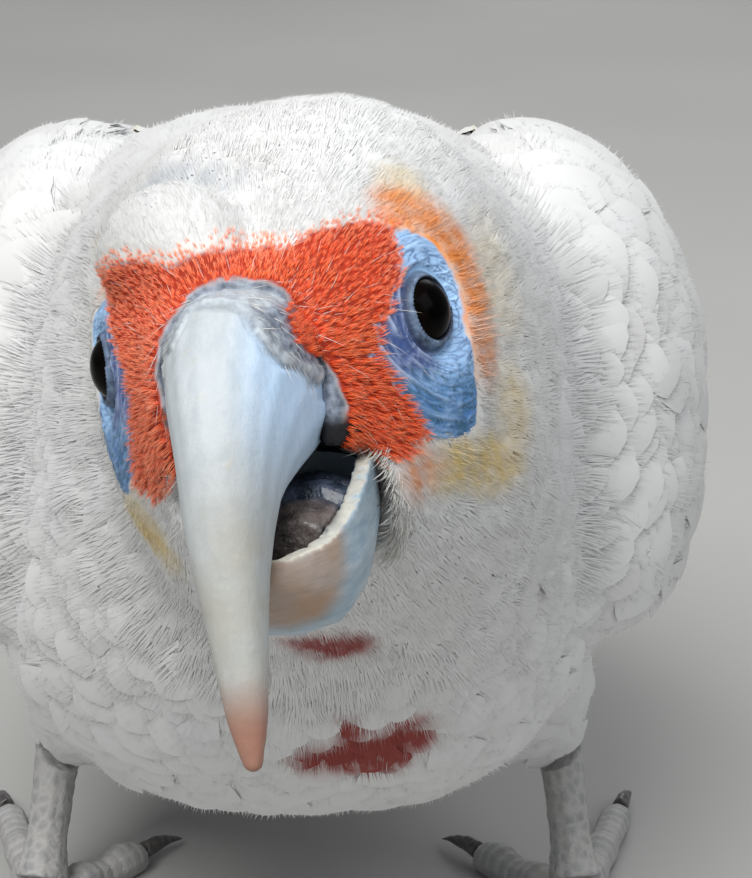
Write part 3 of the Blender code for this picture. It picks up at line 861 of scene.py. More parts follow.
bristleColours = {
    "vane": ((1.0, 0.075, 0.008), (1.0, 0.16, 0.022)),
    # base: the deep red root of a bristle, darkened as painted shade for the gaps between tufts
    "base": (0.34, 0.014, 0.004),
    "patchy": (0.95, 0.05, 0.006),
    "tip": (1.0, 0.48, 0.30),
    "faded": (1.0, 0.52, 0.36),
}


def bristleGroup():
    sockets = [("Shade", "Float", 0.5), ("Tip", "Float", 0.0)]
    group, given, result = newGroup("bristleColour", sockets, [("Color", "Color")])
    look = bristleColours
    colour = mixed(group, given.outputs["Shade"], *look["vane"])
    # darker towards the root: painted shade in the gaps between tufts
    colour = mixed(group, ranged(group, given.outputs["Tip"], 0.0, 0.5), look["base"], colour)
    colour = mixed(group, times(group, speckle(group, 210.0, detail=2.0), 0.35), colour, look["patchy"])
    pale = maths(group, "POWER", given.outputs["Tip"], 2.8)
    colour = mixed(group, times(group, pale, 0.8), colour, look["tip"])
    group.links.new(colour, result.inputs["Color"])
    return group


groups["cloud"] = cloudGroup()
groups["plumage"] = plumageGroup()
groups["bristle"] = bristleGroup()


skinColours = {
    "down": (0.72, 0.715, 0.70),
    # underRedShade: dark red-brown skin under the red, painted shade in the gaps between tufts
    "underRedShade": (0.30, 0.05, 0.02),
    "patch": ((0.42, 0.68, 1.0), (0.050, 0.19, 0.46)),
    "patchFront": (0.035, 0.06, 0.20),
    "patchPale": (0.48, 0.62, 0.80),
    "patchDark": (0.07, 0.16, 0.40),
    "folds": ((0.30, 0.45, 0.68), (0.40, 0.48, 0.68)),
    "furrows": ((0.05, 0.09, 0.25), (0.03, 0.10, 0.16)),
    "lid": ((0.03, 0.05, 0.09), (0.17, 0.24, 0.36)),
    "lidLine": (0.02, 0.025, 0.04),
    "cere": ((0.10, 0.12, 0.16), (0.30, 0.34, 0.41)),
    "roll": (0.56, 0.62, 0.68),
    # mouth: near-black, dark skin deepened into painted shade in the opening between the bill halves
    "mouth": ((0.004, 0.004, 0.005), (0.02, 0.02, 0.024)),
}


def patchColour(tree, fine):
    # blue skin: pale above the eye, violet in front of it, greener and darker low down
    look = skinColours
    low, front = maskNode(tree, "bareLow"), maskNode(tree, "bareFront")
    blue = mixed(tree, low, *look["patch"])
    blue = mixed(tree, front, blue, look["patchFront"])
    blue = mixed(tree, times(tree, fine, 0.14), blue, look["patchPale"])
    blue = mixed(tree, times(tree, speckle(tree, 170.0), 0.28), blue, look["patchDark"])
    blue = mixed(tree, times(tree, maskNode(tree, "fold"), 0.85), blue, mixed(tree, front, *look["folds"]))
    furrow = times(tree, maskNode(tree, "furrow"), 0.9, clamp=True)
    blue = mixed(tree, furrow, blue, mixed(tree, low, *look["furrows"]))
    blue = mixed(tree, maskNode(tree, "lid"), blue, mixed(tree, fine, *look["lid"]))
    return mixed(tree, maskNode(tree, "lidLine"), blue, look["lidLine"])


def skinMaterial():
    material, tree, shader = newMaterial("bareSkinAndDown", specular=0.3)
    look = skinColours
    fine = speckle(tree, 900.0, detail=5.0, rough=0.65)
    colour = useGroup(tree, "plumage", White=look["down"], Shade=0.3)
    # skin under the red: painted shade in the gaps between tufts
    under = mixed(tree, 0.45, useGroup(tree, "bristle", Shade=0.2, Tip=0.0), look["underRedShade"])
    colour = mixed(tree, maskNode(tree, "red"), colour, under)
    colour = mixed(tree, maskNode(tree, "bare"), colour, patchColour(tree, fine))
    cere = mixed(tree, speckle(tree, 900.0, detail=4.0), *look["cere"])
    cere = mixed(tree, maskNode(tree, "roll"), cere, look["roll"])
    colour = mixed(tree, maskNode(tree, "cere"), colour, cere)
    # dark mouth skin with painted shade in the opening
    colour = mixed(tree, maskNode(tree, "gape"), colour, mixed(tree, speckle(tree, 500.0), *look["mouth"]))
    tree.links.new(colour, shader.inputs["Base Color"])
    rough = maths(tree, "MULTIPLY_ADD", maskNode(tree, "bare"), -0.28, 0.8)
    tree.links.new(rough, shader.inputs["Roughness"])
    place = put(tree, "ShaderNodeTexCoord").outputs["Object"]
    cells = put(tree, "ShaderNodeTexVoronoi", {"Vector": place, "Scale": 2600.0}, feature="DISTANCE_TO_EDGE")
    height = maths(tree, "ADD", times(tree, cells.outputs["Distance"], 0.5), fine)
    addBump(tree, shader, height, 0.35, 0.12)
    return material


billColours = {
    # flank and ivory: the horn's tints, laid out as painted light, blue-grey on the shaded flank and ivory on
    # the lit side
    "flank": ((0.49, 0.69, 0.93), (0.56, 0.73, 0.95)),
    "ivory": ((0.44, 0.485, 0.52), (0.50, 0.545, 0.575)),
    # a real cream tint, darkened as painted shade on the lower bill
    "creamAndShade": (0.35, 0.335, 0.28),
    "tip": ((0.27, 0.11, 0.072), (0.32, 0.165, 0.12)),
    "specks": (0.50, 0.44, 0.33),
    "root": ((0.09, 0.11, 0.155), (0.27, 0.32, 0.40)),
    "rootRidge": ((0.34, 0.39, 0.45), (0.52, 0.57, 0.60)),
    "rootRed": (0.34, 0.035, 0.013),
    "rootLine": (0.16, 0.18, 0.20),
}


def billMaterial():
    material, tree, shader = newMaterial("billHorn", coat=0.1, coatRough=0.45, specular=0.35)
    look = billColours
    grain = speckle(tree, 760.0, detail=5.0, rough=0.7, stretch=(1.2, 0.7, 0.45))
    cloud = speckle(tree, 70.0)
    flank = mixed(tree, grain, *look["flank"])
    # painted light: the lit side takes the ivory, the far flank the blue-grey
    colour = mixed(tree, maskNode(tree, "billLitSide"), flank, mixed(tree, grain, *look["ivory"]))
    # cream tint with painted shade towards the lower end
    creamAndShade = times(tree, maskNode(tree, "creamAndShade"), maths(tree, "MULTIPLY_ADD", cloud, 0.7, 0.35), clamp=True)
    colour = mixed(tree, creamAndShade, colour, look["creamAndShade"])
    colour = mixed(tree, maskNode(tree, "tip"), colour, mixed(tree, cloud, *look["tip"]))
    specks = speckle(tree, 620.0, low=0.64, high=0.78)
    colour = mixed(tree, times(tree, specks, 0.4), colour, look["specks"])
    mottle = speckle(tree, 900.0, detail=4.0)
    root = mixed(tree, mottle, *look["root"])
    root = mixed(tree, maskNode(tree, "ridge"), root, mixed(tree, mottle, *look["rootRidge"]))
    root = mixed(tree, maskNode(tree, "red"), root, look["rootRed"])
    colour = mixed(tree, maskNode(tree, "root"), colour, root)
    colour = mixed(tree, times(tree, maskNode(tree, "rootLine"), 0.55), colour, look["rootLine"])
    tree.links.new(colour, shader.inputs["Base Color"])
    tree.links.new(ranged(tree, grain, 0.0, 1.0, 0.44, 0.62), shader.inputs["Roughness"])
    height = maths(tree, "ADD", grain, times(tree, speckle(tree, 1500.0, detail=4.0), 0.35))
    addBump(tree, shader, height, 0.3, 0.1)
    return material


jawColours = {
    "horn": ((0.24, 0.35, 0.44), (0.42, 0.50, 0.56)),
    # front: beige-brown horn at the front of the lower bill, darkened as painted shade under the upper bill
    "front": (0.36, 0.235, 0.155),
    "ledge": ((0.44, 0.45, 0.42), (0.62, 0.60, 0.52)),
    # inside: near-black painted shade on the inner faces under the upper bill
    "inside": (0.06, 0.055, 0.055),
}


def jawMaterial():
    material, tree, shader = newMaterial("jawHorn", coat=0.15, coatRough=0.4, specular=0.4)
    look = jawColours
    fibre = speckle(tree, 240.0, detail=5.0, rough=0.65, stretch=(0.5, 0.6, 2.6))
    uneven = maths(tree, "MULTIPLY_ADD", speckle(tree, 90.0), 0.5, 0.6)
    colour = mixed(tree, fibre, *look["horn"])
    # the beige-brown front, darkened as painted shade under the upper bill
    colour = mixed(tree, times(tree, maskNode(tree, "front"), uneven, clamp=True), colour, look["front"])
    colour = mixed(tree, maskNode(tree, "ledge"), colour, mixed(tree, fibre, *look["ledge"]))
    # painted shade inside the lower bill
    colour = mixed(tree, maskNode(tree, "inside"), colour, look["inside"])
    tree.links.new(colour, shader.inputs["Base Color"])
    shader.inputs["Roughness"].default_value = 0.5
    addBump(tree, shader, fibre, 0.4, 0.12)
    return material


tongueColours = {
    "skin": ((0.012, 0.018, 0.034), (0.07, 0.095, 0.15)),
    "worn": ((0.03, 0.024, 0.026), (0.14, 0.11, 0.10)),
}


def tongueMaterial():
    material, tree, shader = newMaterial("tongueSkin", coat=0.5, coatRough=0.2)
    cloud = speckle(tree, 420.0, detail=4.0)
    colour = mixed(tree, cloud, *tongueColours["skin"])
    colour = mixed(tree, maskNode(tree, "worn"), colour, mixed(tree, cloud, *tongueColours["worn"]))
    tree.links.new(colour, shader.inputs["Base Color"])
    tree.links.new(ranged(tree, cloud, 0.0, 1.0, 0.25, 0.6), shader.inputs["Roughness"])
    addBump(tree, shader, speckle(tree, 1300.0), 0.6, 0.2)
    return material


eyeColours = {
    "pupil": (0.0006, 0.0006, 0.0006),
    "iris": ((0.0012, 0.0009, 0.0008), (0.0035, 0.002, 0.0016)),
    "rim": (0.003, 0.003, 0.003),
    # degrees from the pupil's middle over which one gives way to the next
    "pupilEdge": (21.0, 25.0),
    "rimEdge": (33.0, 40.0),
}


def eyeMaterial():
    material, tree, shader = newMaterial("eyeWet", specular=0.035)
    look = eyeColours
    angle = maskNode(tree, "fromPupil")
    iris = mixed(tree, speckle(tree, 900.0, detail=4.0), *look["iris"])
    colour = mixed(tree, ranged(tree, angle, *look["pupilEdge"]), look["pupil"], iris)
    colour = mixed(tree, ranged(tree, angle, *look["rimEdge"]), colour, look["rim"])
    tree.links.new(colour, shader.inputs["Base Color"])
    shader.inputs["Roughness"].default_value = 0.2
    return material


# the coat: how feathers are rooted, laid and joined
billRoot = np.array((0.4, -16.0, -5.0))
tailAim = unit(np.array((0.0, 0.945, -0.33)))


def flowAt(points, normals):
    # away from the bill on the head, towards the tail on the body, always along the surface
    q = toHead(points)
    fromBill = q - billRoot
    away = unit(fromBill) @ headAxes.T
    share = ramp(np.linalg.norm(fromBill, axis=1), 38.0, 78.0)[:, None]
    flow = away * (1.0 - share) + tailAim * share
    flow = flow - normals * np.sum(flow * normals, axis=1, keepdims=True)
    return unit(flow)


def scatter(mesh, spacing, oversample, allowed):
    # even random roots: candidates by area, then none nearer to another than the spacing there
    points, normals, corners = vertsOf(mesh), normalsOf(mesh), trianglesOf(mesh)
    a, b, c = (points[corners[:, k]] for k in range(3))
    area = np.linalg.norm(np.cross(b - a, c - a), axis=1) / 2 / mm**2
    middle = (a + b + c) / 3
    gap = spacing(middle)
    wish = area / gap**2 * oversample * allowed(middle)
    total = int(wish.sum())
    pick = dice.choice(len(corners), total, p=wish / wish.sum())
    u, v = dice.random(total), dice.random(total)
    flip = u + v > 1
    u[flip], v[flip] = 1 - u[flip], 1 - v[flip]
    w = (1 - u - v)[:, None]
    u, v = u[:, None], v[:, None]
    place = a[pick] * w + b[pick] * u + c[pick] * v
    facingOut = [normals[corners[pick, k]] for k in range(3)]
    normal = unit(facingOut[0] * w + facingOut[1] * u + facingOut[2] * v)
    gap = gap[pick] * mm
    cell = gap.max()
    grid = {}
    kept = []
    cells = np.floor(place / cell).astype(int)
    steps = [(i, j, k) for i in (-1, 0, 1) for j in (-1, 0, 1) for k in (-1, 0, 1)]
    for n in range(total):
        x, y, z = cells[n]
        spot, reach = place[n], gap[n] ** 2
        clear = True
        for i, j, k in steps:
            for other in grid.get((x + i, y + j, z + k), ()):
                d = place[other] - spot
                if d[0] * d[0] + d[1] * d[1] + d[2] * d[2] < reach:
                    clear = False
                    break
            if not clear:
                break
        if clear:
            grid.setdefault((x, y, z), []).append(n)
            kept.append(n)
    return place[kept], normal[kept]


def traceLines(tree, roots, normals, length, flow, steps=3):
    # follows the lie of the coat over the surface in a few steps, and runs straight on past an edge
    stops, outs = [roots], [normals]
    missed = np.zeros(len(roots), int)
    place, normal, heading = roots.copy(), normals.copy(), flow.copy()
    for _ in range(steps):
        step = (length / steps)[:, None] * mm
        ahead = place + heading * step
        landed, facingOut = ahead.copy(), normal.copy()
        for i in range(len(ahead)):
            spot, out, _index, far = tree.find_nearest(Vector(ahead[i]))
            if far < 0.45 * step[i, 0] and out.dot(Vector(normal[i])) > 0.5:
                landed[i], facingOut[i] = spot, out
            else:
                missed[i] += 1
        place = landed
        normal = unit(0.5 * normal + 0.5 * facingOut)
        heading = heading - normal * np.sum(heading * normal, axis=1, keepdims=True)
        heading = unit(0.6 * unit(heading) + 0.4 * flowAt(place, normal))
        stops.append(place)
        outs.append(normal)
    return np.stack(stops, axis=1), np.stack(outs, axis=1), missed


def traceWithin(tree, roots, normals, length, flow):
    # a feather that would run off an edge is laid again at half its length, twice if need be
    stops, outs, missed = traceLines(tree, roots, normals, length, flow)
    for _ in range(2):
        off = missed > 0
        if not off.any():
            break
        length = np.where(off, length * 0.5, length)
        part = traceLines(tree, roots[off], normals[off], length[off], flow[off])
        stops[off], outs[off], missed[off] = part
    return stops, outs, length


def vaneWidth(s):
    # outline of a contour feather: narrow at the root, widest past the middle, round at the tip
    base = np.clip(s / 0.5, 0, 1) ** 0.7
    tip = np.sqrt(np.clip(1 - (np.clip(s - 0.55, 0, 1) / 0.45) ** 2, 0, 1))
    return base * tip


def featherPattern(chance, zone):
    # one feather in its own units: along 0..1, across -1..1, lift 0..1, side of its own patch 0..1
    along, across, lift, side, tris = [], [], [], [], []
    rows, columns, barbs = zone["rows"], zone["columns"], zone["barbs"]
    for i in range(rows + 1):
        for j in range(columns + 1):
            t = -1 + 2 * j / columns
            s = zone["vane"] * i / rows * (1 - 0.30 * t * t * i / rows)
            along.append(s)
            across.append(t * max(vaneWidth(s), 0.12) * 0.92)
            lift.append(0.0)
            side.append(j / columns)
    for i in range(rows):
        for j in range(columns):
            k = i * (columns + 1) + j
            tris += [(k, k + columns + 2, k + 1), (k, k + columns + 1, k + columns + 2)]
    for n in range(barbs):
        fan = -1.25 + 2.5 * (n + 0.5 + chance.uniform(-0.35, 0.35)) / barbs
        angle = fan * math.pi / 2
        if abs(fan) <= 1:
            s1, t1 = 0.55 + 0.45 * math.cos(angle) ** 0.9, math.sin(angle)
        else:
            s1 = 0.55 - (abs(fan) - 1) * 1.3
            t1 = math.copysign(float(vaneWidth(np.array(s1))), fan)
        s1 += chance.uniform(-0.10, 0.06)
        t1 *= chance.uniform(0.9, 1.12)
        s0 = max(s1 - chance.uniform(0.38, 0.58), 0.02)
        t0 = t1 * chance.uniform(0.5, 0.8)
        up = abs(chance.normal(0, zone["loose"])) + 0.02
        turn = math.atan2(t1 - t0, (s1 - s0) * 2.2)
        start = len(along)
        for r, hand in ((0.0, -1), (0.0, 1), (1.0, 0)):
            along.append(s0 + (s1 - s0) * r + hand * zone["barbWidth"] * 0.25 * math.sin(turn))
            across.append(t0 + (t1 - t0) * r + hand * zone["barbWidth"] * math.cos(turn))
            lift.append(up * r + 0.01)
            side.append(0.5 + hand * 0.5)
        tris.append((start, start + 2, start + 1))
    return tuple(np.array(part, float) for part in (along, across, lift, side)) + (np.array(tris),)


def curveShares(s):
    # weights of four evenly spaced stops at the share s along a line
    n0 = (1 - 3 * s) * (1 - 1.5 * s) * (1 - s)
    n1 = 9 * s * (1 - 1.5 * s) * (1 - s)
    n2 = -4.5 * s * (1 - 3 * s) * (1 - s)
    n3 = s * (1 - 3 * s) * (1 - 1.5 * s)
    return np.stack([n0, n1, n2, n3], axis=1)


def layFeathers(pattern, stops, outs, width, rise, camber, sink, lean):
    # puts the pattern on every traced line, and returns places for feathers x pattern points
    along, across, lift = pattern[:3]
    every = [np.broadcast_to(value, len(stops))[:, None] for value in (width, rise, camber, sink, lean)]
    width, rise, camber, sink, lean = every
    share = curveShares(along)
    middle = np.einsum("ms,nsk->nmk", share, stops)
    out = unit(np.einsum("ms,nsk->nmk", share, outs))
    nearby = np.clip(along + 0.02, 0, 1.05)
    ahead = unit(np.einsum("ms,nsk->nmk", curveShares(nearby), stops) - middle + 1e-12)
    sideways = unit(np.cross(out, ahead))
    reach = across[None, :] * width
    height = rise * (np.clip(along, 0, 2)[None, :] ** 0.85 + lift[None, :]) - sink
    height = height - camber * width * across[None, :] ** 2 + lean * reach
    places = middle + sideways * (reach * mm)[:, :, None] + out * (height * mm)[:, :, None]
    # soft shading: every barb is lit as the rounded feather it belongs to
    soft = unit(out + sideways * (0.28 * across)[None, :, None] + ahead * (0.12 * along)[None, :, None])
    return places, soft


lengthwise = {"reach": 300.0, "edge": 0.03, "patch": 0.003}


def unwrapAt(points):
    # distance from the bill against the angle round the line from bill to tail
    q = toHead(points)
    along = np.linalg.norm(q - billRoot, axis=1) / lengthwise["reach"]
    offset = np.asarray(points) - fromHead(billRoot)
    turn = np.arctan2(offset[:, 0], offset @ np.array((0.0, 0.33, 0.945)))
    edge = lengthwise["edge"]
    span = 1 - 2 * edge
    return np.stack([edge + span * np.clip(along, 0, 1), 0.5 + turn / (2 * math.pi) * span], axis=1)


def joinedMesh(name, places, tris, floats, bake, soft):
    mesh = bpy.data.meshes.new(name)
    mesh.vertices.add(len(places))
    mesh.loops.add(len(tris) * 3)
    mesh.polygons.add(len(tris))
    mesh.vertices.foreach_set("co", np.ascontiguousarray(places, np.float32).ravel())
    mesh.loops.foreach_set("vertex_index", np.ascontiguousarray(tris, np.int32).ravel())
    mesh.polygons.foreach_set("loop_start", np.arange(0, len(tris) * 3, 3, dtype=np.int32))
    mesh.update(calc_edges=True)
    for key, values in floats.items():
        setFloats(mesh, key, values)
    layer = mesh.uv_layers.new(name="OFBake")
    layer.data.foreach_set("uv", np.ascontiguousarray(bake[tris.ravel()], np.float32).ravel())
    mesh.shade_smooth()
    mesh.normals_split_custom_set_from_vertices(soft.tolist())
    return mesh


def joinFeathers(name, batches):
    # each batch: places, pattern, root points, shade for each feather
    places, tris, bake, soft = [], [], [], []
    floats = {key: [] for key in ("tip", "shade", "across", "orange", "yellow", "shadow", "rose")}
    start = 0
    for (spots, lit), pattern, roots, shade in batches:
        soft.append(lit.reshape(-1, 3))
        along, across, _lift, side, corners = pattern
        count, points = spots.shape[0], spots.shape[1]
        places.append(spots.reshape(-1, 3))
        shift = (np.arange(count) * points + start)[:, None, None]
        tris.append((corners[None] + shift).reshape(-1, 3))
        start += count * points
        q = toHead((0.5 * spots + 0.5 * spots.mean(axis=1, keepdims=True)).reshape(-1, 3))
        for key in ("orange", "yellow", "shadow", "rose"):
            floats[key].append(stainAndShadowMask(q, key))
        floats["tip"].append(np.tile(along, count))
        floats["across"].append(np.tile(across, count))
        floats["shade"].append(np.repeat(shade, points))
        patch = lengthwise["patch"]
        own = np.stack([(side - 0.5) * patch, (along - 0.5) * patch], axis=1)
        bake.append((unwrapAt(roots)[:, None, :] + own[None]).reshape(-1, 2))
    floats = {key: np.concatenate(values) for key, values in floats.items()}
    mesh = joinedMesh(name, np.concatenate(places), np.concatenate(tris), floats, np.concatenate(bake),
                      np.concatenate(soft))
    print(name, len(mesh.polygons), "triangles")
    return mesh


coatLook = {
    # length of a feather at the naked face, and what is added over the head, the neck and the body
    "length": 3.0,
    "head": 4.5,
    "neck": 4.5,
    "body": 8.0,
    "onThigh": 0.55,
    "kinds": 5,
    "swerve": 0.10,
    "camber": 0.12,
    "sink": 0.15,
    "lean": 0.08,
}


def onThigh(marks):
    # one at the heel, falling to nothing at the hip
    points = fromHead(marks["head"])
    foot = np.abs(points[:, 0]) / mm
    return ramp(points[:, 2] / mm, 52.0, 38.0) * ramp(foot, 22.0, 30.0)


def coatLength(marks):
    fromBill = np.linalg.norm(marks["head"] - billRoot, axis=1)
    full = coatLook["length"] + coatLook["head"] * ramp(marks["away"], 0.0, 15.0)
    full = full + coatLook["neck"] * ramp(fromBill, 38.0, 62.0)
    full = full + coatLook["body"] * ramp(fromBill, 60.0, 105.0)
    return full * (1.0 - coatLook["onThigh"] * onThigh(marks))


coatZones = {
    # distances from the bill between which each piece of the coat grows
    "faceCoat": {"from": 0.0, "to": 33.0, "barbs": 36, "rows": 3, "columns": 2, "vane": 0.55,
                 "barbWidth": 0.050, "loose": 0.06, "spacing": 0.21, "wide": 0.33, "clear": 1.0},
    "crownCoat": {"from": 33.0, "to": 60.0, "barbs": 40, "rows": 3, "columns": 2, "vane": 0.62,
                  "barbWidth": 0.040, "loose": 0.05, "spacing": 0.20, "wide": 0.33, "clear": 1.2},
    "mantleCoat": {"from": 60.0, "to": 105.0, "barbs": 32, "rows": 4, "columns": 5, "vane": 0.80,
                   "barbWidth": 0.030, "loose": 0.025, "spacing": 0.165, "wide": 0.32, "clear": 1.5},
    "rearCoat": {"from": 105.0, "to": 400.0, "barbs": 28, "rows": 4, "columns": 6, "vane": 0.86,
                 "barbWidth": 0.028, "loose": 0.02, "spacing": 0.190, "wide": 0.35, "clear": 1.7},
}


def growZone(name, zone, mesh, tree, onFlight):
    def allowed(points):
        marks = markings(points)
        fromBill = np.linalg.norm(marks["head"] - billRoot, axis=1)
        naked = marks["red"] * 1.2 + marks["bare"] + marks["cere"] + marks["gape"]
        inside = (fromBill >= zone["from"]) & (fromBill < zone["to"]) & (naked < 0.5)
        return inside & ~onFlight(points)

    def spacing(points):
        return coatLength(markings(points)) * zone["spacing"]

    roots, normals = scatter(mesh, spacing, 5.0, allowed)
    marks = markings(roots)
    count = len(roots)
    length = coatLength(marks) * dice.uniform(0.85, 1.15, count)
    flow = flowAt(roots, normals)
    swerve = dice.normal(0, coatLook["swerve"], count)[:, None]
    flow = unit(flow + np.cross(normals, flow) * swerve)
    stops, outs, length = traceWithin(tree, roots, normals, length, flow)
    depth = coatDepth(marks)
    rise = np.clip(depth, 0.6, length * 0.15) * dice.uniform(0.75, 1.15, count)
    width = length * zone["wide"] * dice.uniform(0.85, 1.15, count)
    # a vane whose side would stand clear of the skin is made narrower
    sideways = unit(np.cross(outs[:, 2], stops[:, 3] - stops[:, 1]))
    held = np.ones(count, bool)
    for i in range(count):
        spots = [Vector(stops[i, 2] + sideways[i] * hand * width[i] * mm) for hand in (-1, 1)]
        clear = max(tree.find_nearest(spot)[3] for spot in spots) / mm
        width[i] *= min(zone["clear"] / clear, 1.0)
        rise[i] *= min(zone["clear"] / clear, 1.0)
        held[i] = tree.find_nearest(Vector(stops[i, 3]))[3] < zone["clear"] * mm
    shade = dice.random(count)
    batches = []
    kinds = dice.integers(0, coatLook["kinds"], count)
    for kind in range(coatLook["kinds"]):
        chance = np.random.default_rng(100 + kind)
        pattern = featherPattern(chance, zone)
        mine = (kinds == kind) & held
        lean = dice.normal(0, coatLook["lean"], mine.sum())
        spots = layFeathers(pattern, stops[mine], outs[mine], width[mine], rise[mine],
                            coatLook["camber"], coatLook["sink"], lean)
        batches.append((spots, pattern, roots[mine], shade[mine]))
    return joinFeathers(name, batches)


bristleLook = {
    "spacing": 0.60,
    "barbs": 12,
    "length": 1.35,
    "thick": 0.036,
    "stand": 0.90,
    "upright": 0.18,
    "base": 0.28,
    "gather": 0.19,
    "loose": 0.15,
    "stray": 0.42,
    "strayReach": 2.0,
}


def bristlePattern():
    # a three-sided spike with a bend at its middle
    along, turn, wide, tris = [], [], [], []
    for s, size in ((0.0, 1.0), (0.5, 0.85)):
        for k in range(3):
            along.append(s)
            turn.append(k * 2 * math.pi / 3)
            wide.append(size)
    along.append(1.0)
    turn.append(0.0)
    wide.append(0.0)
    for k in range(3):
        n = (k + 1) % 3
        tris += [(k, n, n + 3), (k, n + 3, k + 3), (k + 3, n + 3, 6)]
    return np.array(along), np.array(turn), np.array(wide), np.array(tris)


def layBristles(name, roots, normals, headings, length, stand, thick, shade):
    along, turn, wide, tris = bristlePattern()
    count = len(roots)
    across = unit(np.cross(normals, headings))
    lift = stand[:, None] * (1 - 0.45 * along[None])
    forward = (along[None] * length[:, None] * np.cos(lift))[:, :, None] * headings[:, None, :]
    upward = (along[None] * length[:, None] * np.sin(lift))[:, :, None] * normals[:, None, :]
    spin = turn[None] + dice.uniform(0, 6.28, count)[:, None]
    size = (wide[None] * thick[:, None])[:, :, None]
    ring = across[:, None, :] * np.cos(spin)[:, :, None]
    ring = ring + unit(normals - headings)[:, None, :] * np.sin(spin)[:, :, None]
    spots = roots[:, None, :] - normals[:, None, :] * 0.25 * mm
    spots = spots + (forward + upward + ring * size) * mm
    lit = unit(0.7 * normals[:, None, :] + 0.6 * ring)
    pattern = (along, np.cos(turn), along * 0, 0.5 + 0.5 * np.cos(turn), tris)
    return joinFeathers(name, [((spots, lit), pattern, roots, shade)])


def growBristles(mesh, billMesh):
    # each short stiff feather is a tuft of barbs from one root, and the tufts are scattered evenly
    look = bristleLook

    def allowed(points):
        marks = markings(points)
        bare = (marks["bare"] > 0.3) | (marks["cere"] > 0.5) | (marks["gape"] > 0.5)
        stray = ramp(marks["away"], look["strayReach"], 0.0) * (marks["angle"] < 50.0) * ~bare
        return np.where(marks["red"] > 0.45, 1.0, stray * look["stray"])

    def allowedOnBill(points):
        past, angle = pastHorn(toHead(points))
        front = (toHead(points)[:, 1] < -11.0) & (angle < 100.0) & (past > 1.0)
        return np.where(front & (markings(points)["red"] > 0.45), 1.0, 0.0)

    def spacing(points):
        return np.full(len(points), look["spacing"])

    roots, normals = scatter(mesh, spacing, 8.0, allowed)
    billRoots, billNormals = scatter(billMesh, spacing, 8.0, allowedOnBill)
    # on the root of the bill they point outwards and back
    outward = toHead(billRoots) - np.array((faceMap["middleX"], 0.0, faceMap["middleZ"]))
    outward[:, 1] = 0.0
    outward = (unit(outward) * 0.75 + np.array((0.0, 0.65, 0.0))) @ headAxes.T
    outward = outward - billNormals * np.sum(outward * billNormals, axis=1, keepdims=True)
    flow = np.concatenate([flowAt(roots, normals), unit(outward)])
    roots, normals = np.concatenate([roots, billRoots]), np.concatenate([normals, billNormals])
    marks = markings(roots)
    count, barbs = len(roots), look["barbs"]
    flow = unit(flow + np.cross(normals, flow) * dice.normal(0, 0.10, count)[:, None])
    size = look["length"] * dice.uniform(0.85, 1.2, count)
    size = size * (0.85 + 0.55 * ramp(marks["head"][:, 2], 3.0, -4.0))
    shade = dice.random(count)
    upright = look["upright"] * ramp(marks["head"][:, 2], -2.0, 5.0)
    far = look["base"] * np.sqrt(dice.random(count * barbs))
    turn = dice.uniform(0, 2 * math.pi, count * barbs)
    wide, deep = far * np.cos(turn), far * np.sin(turn)
    each = [np.repeat(values, barbs, axis=0) for values in (roots, normals, flow, size, shade, upright)]
    roots, normals, flow, size, shade, upright = each
    sideways = np.cross(normals, flow)
    fan = dice.normal(0, look["loose"], len(far)) - wide * look["gather"] / size
    headings = unit(flow + sideways * fan[:, None])
    roots = roots + (sideways * wide[:, None] + flow * deep[:, None]) * mm
    length = (size - deep * look["gather"]) * dice.uniform(0.62, 1.10, len(far))
    # over the brow the tufts stand up and show only their tips
    stand = np.clip(look["stand"] + upright + dice.normal(0, look["loose"], len(far)), 0.1, 1.45)
    thick = look["thick"] * dice.uniform(0.7, 1.2, len(far))
    shade = np.clip(shade * 0.7 + 0.3 * dice.random(len(far)), 0, 1)
    grown = layBristles("redBristles", roots, normals, headings, length, stand, thick, shade)
    marks = markings(vertsOf(grown))
    x, z = marks["head"][:, 0], marks["head"][:, 2]
    edge = 0.85 * ramp(marks["redIn"], 0.3, -1.6) + 0.35 * ramp(marks["redIn"], 3.0, 0.6) * ramp(z, 0.0, 4.0)
    setFloats(grown, "fade", np.clip(np.maximum(edge, 0.40 * ramp(x, -2.0, -9.0)), 0, 1))
    return grown


hairSets = {
    # spacing, length, stand, thickness and how loosely the hairs keep to their heading
    "cereStrands": (0.72, 4.2, 0.03, 0.040, 0.05),
    "rootStrands": (0.80, 2.8, 0.02, 0.052, 0.07),
    "cornerStrands": (0.50, 1.9, 0.06, 0.070, 0.14),
    "billCombs": (0.86, 2.1, 0.34, 0.034, 0.25),
    "loreHairs": (1.70, 3.8, 0.34, 0.032, 0.22),
    "crownHairs": (1.90, 3.0, 0.55, 0.030, 0.30),
    "patchStrings": (1.6, 3.0, 0.02, 0.032, 0.10),
    "jawFringe": (0.34, 3.2, 0.55, 0.070, 0.25),
    "patchRim": (0.36, 5.0, 0.26, 0.042, 0.16),
    "faceHairs": (0.62, 4.2, 0.20, 0.034, 0.20),
    "patchBristles": (0.55, 2.2, 0.16, 0.045, 0.25),
}


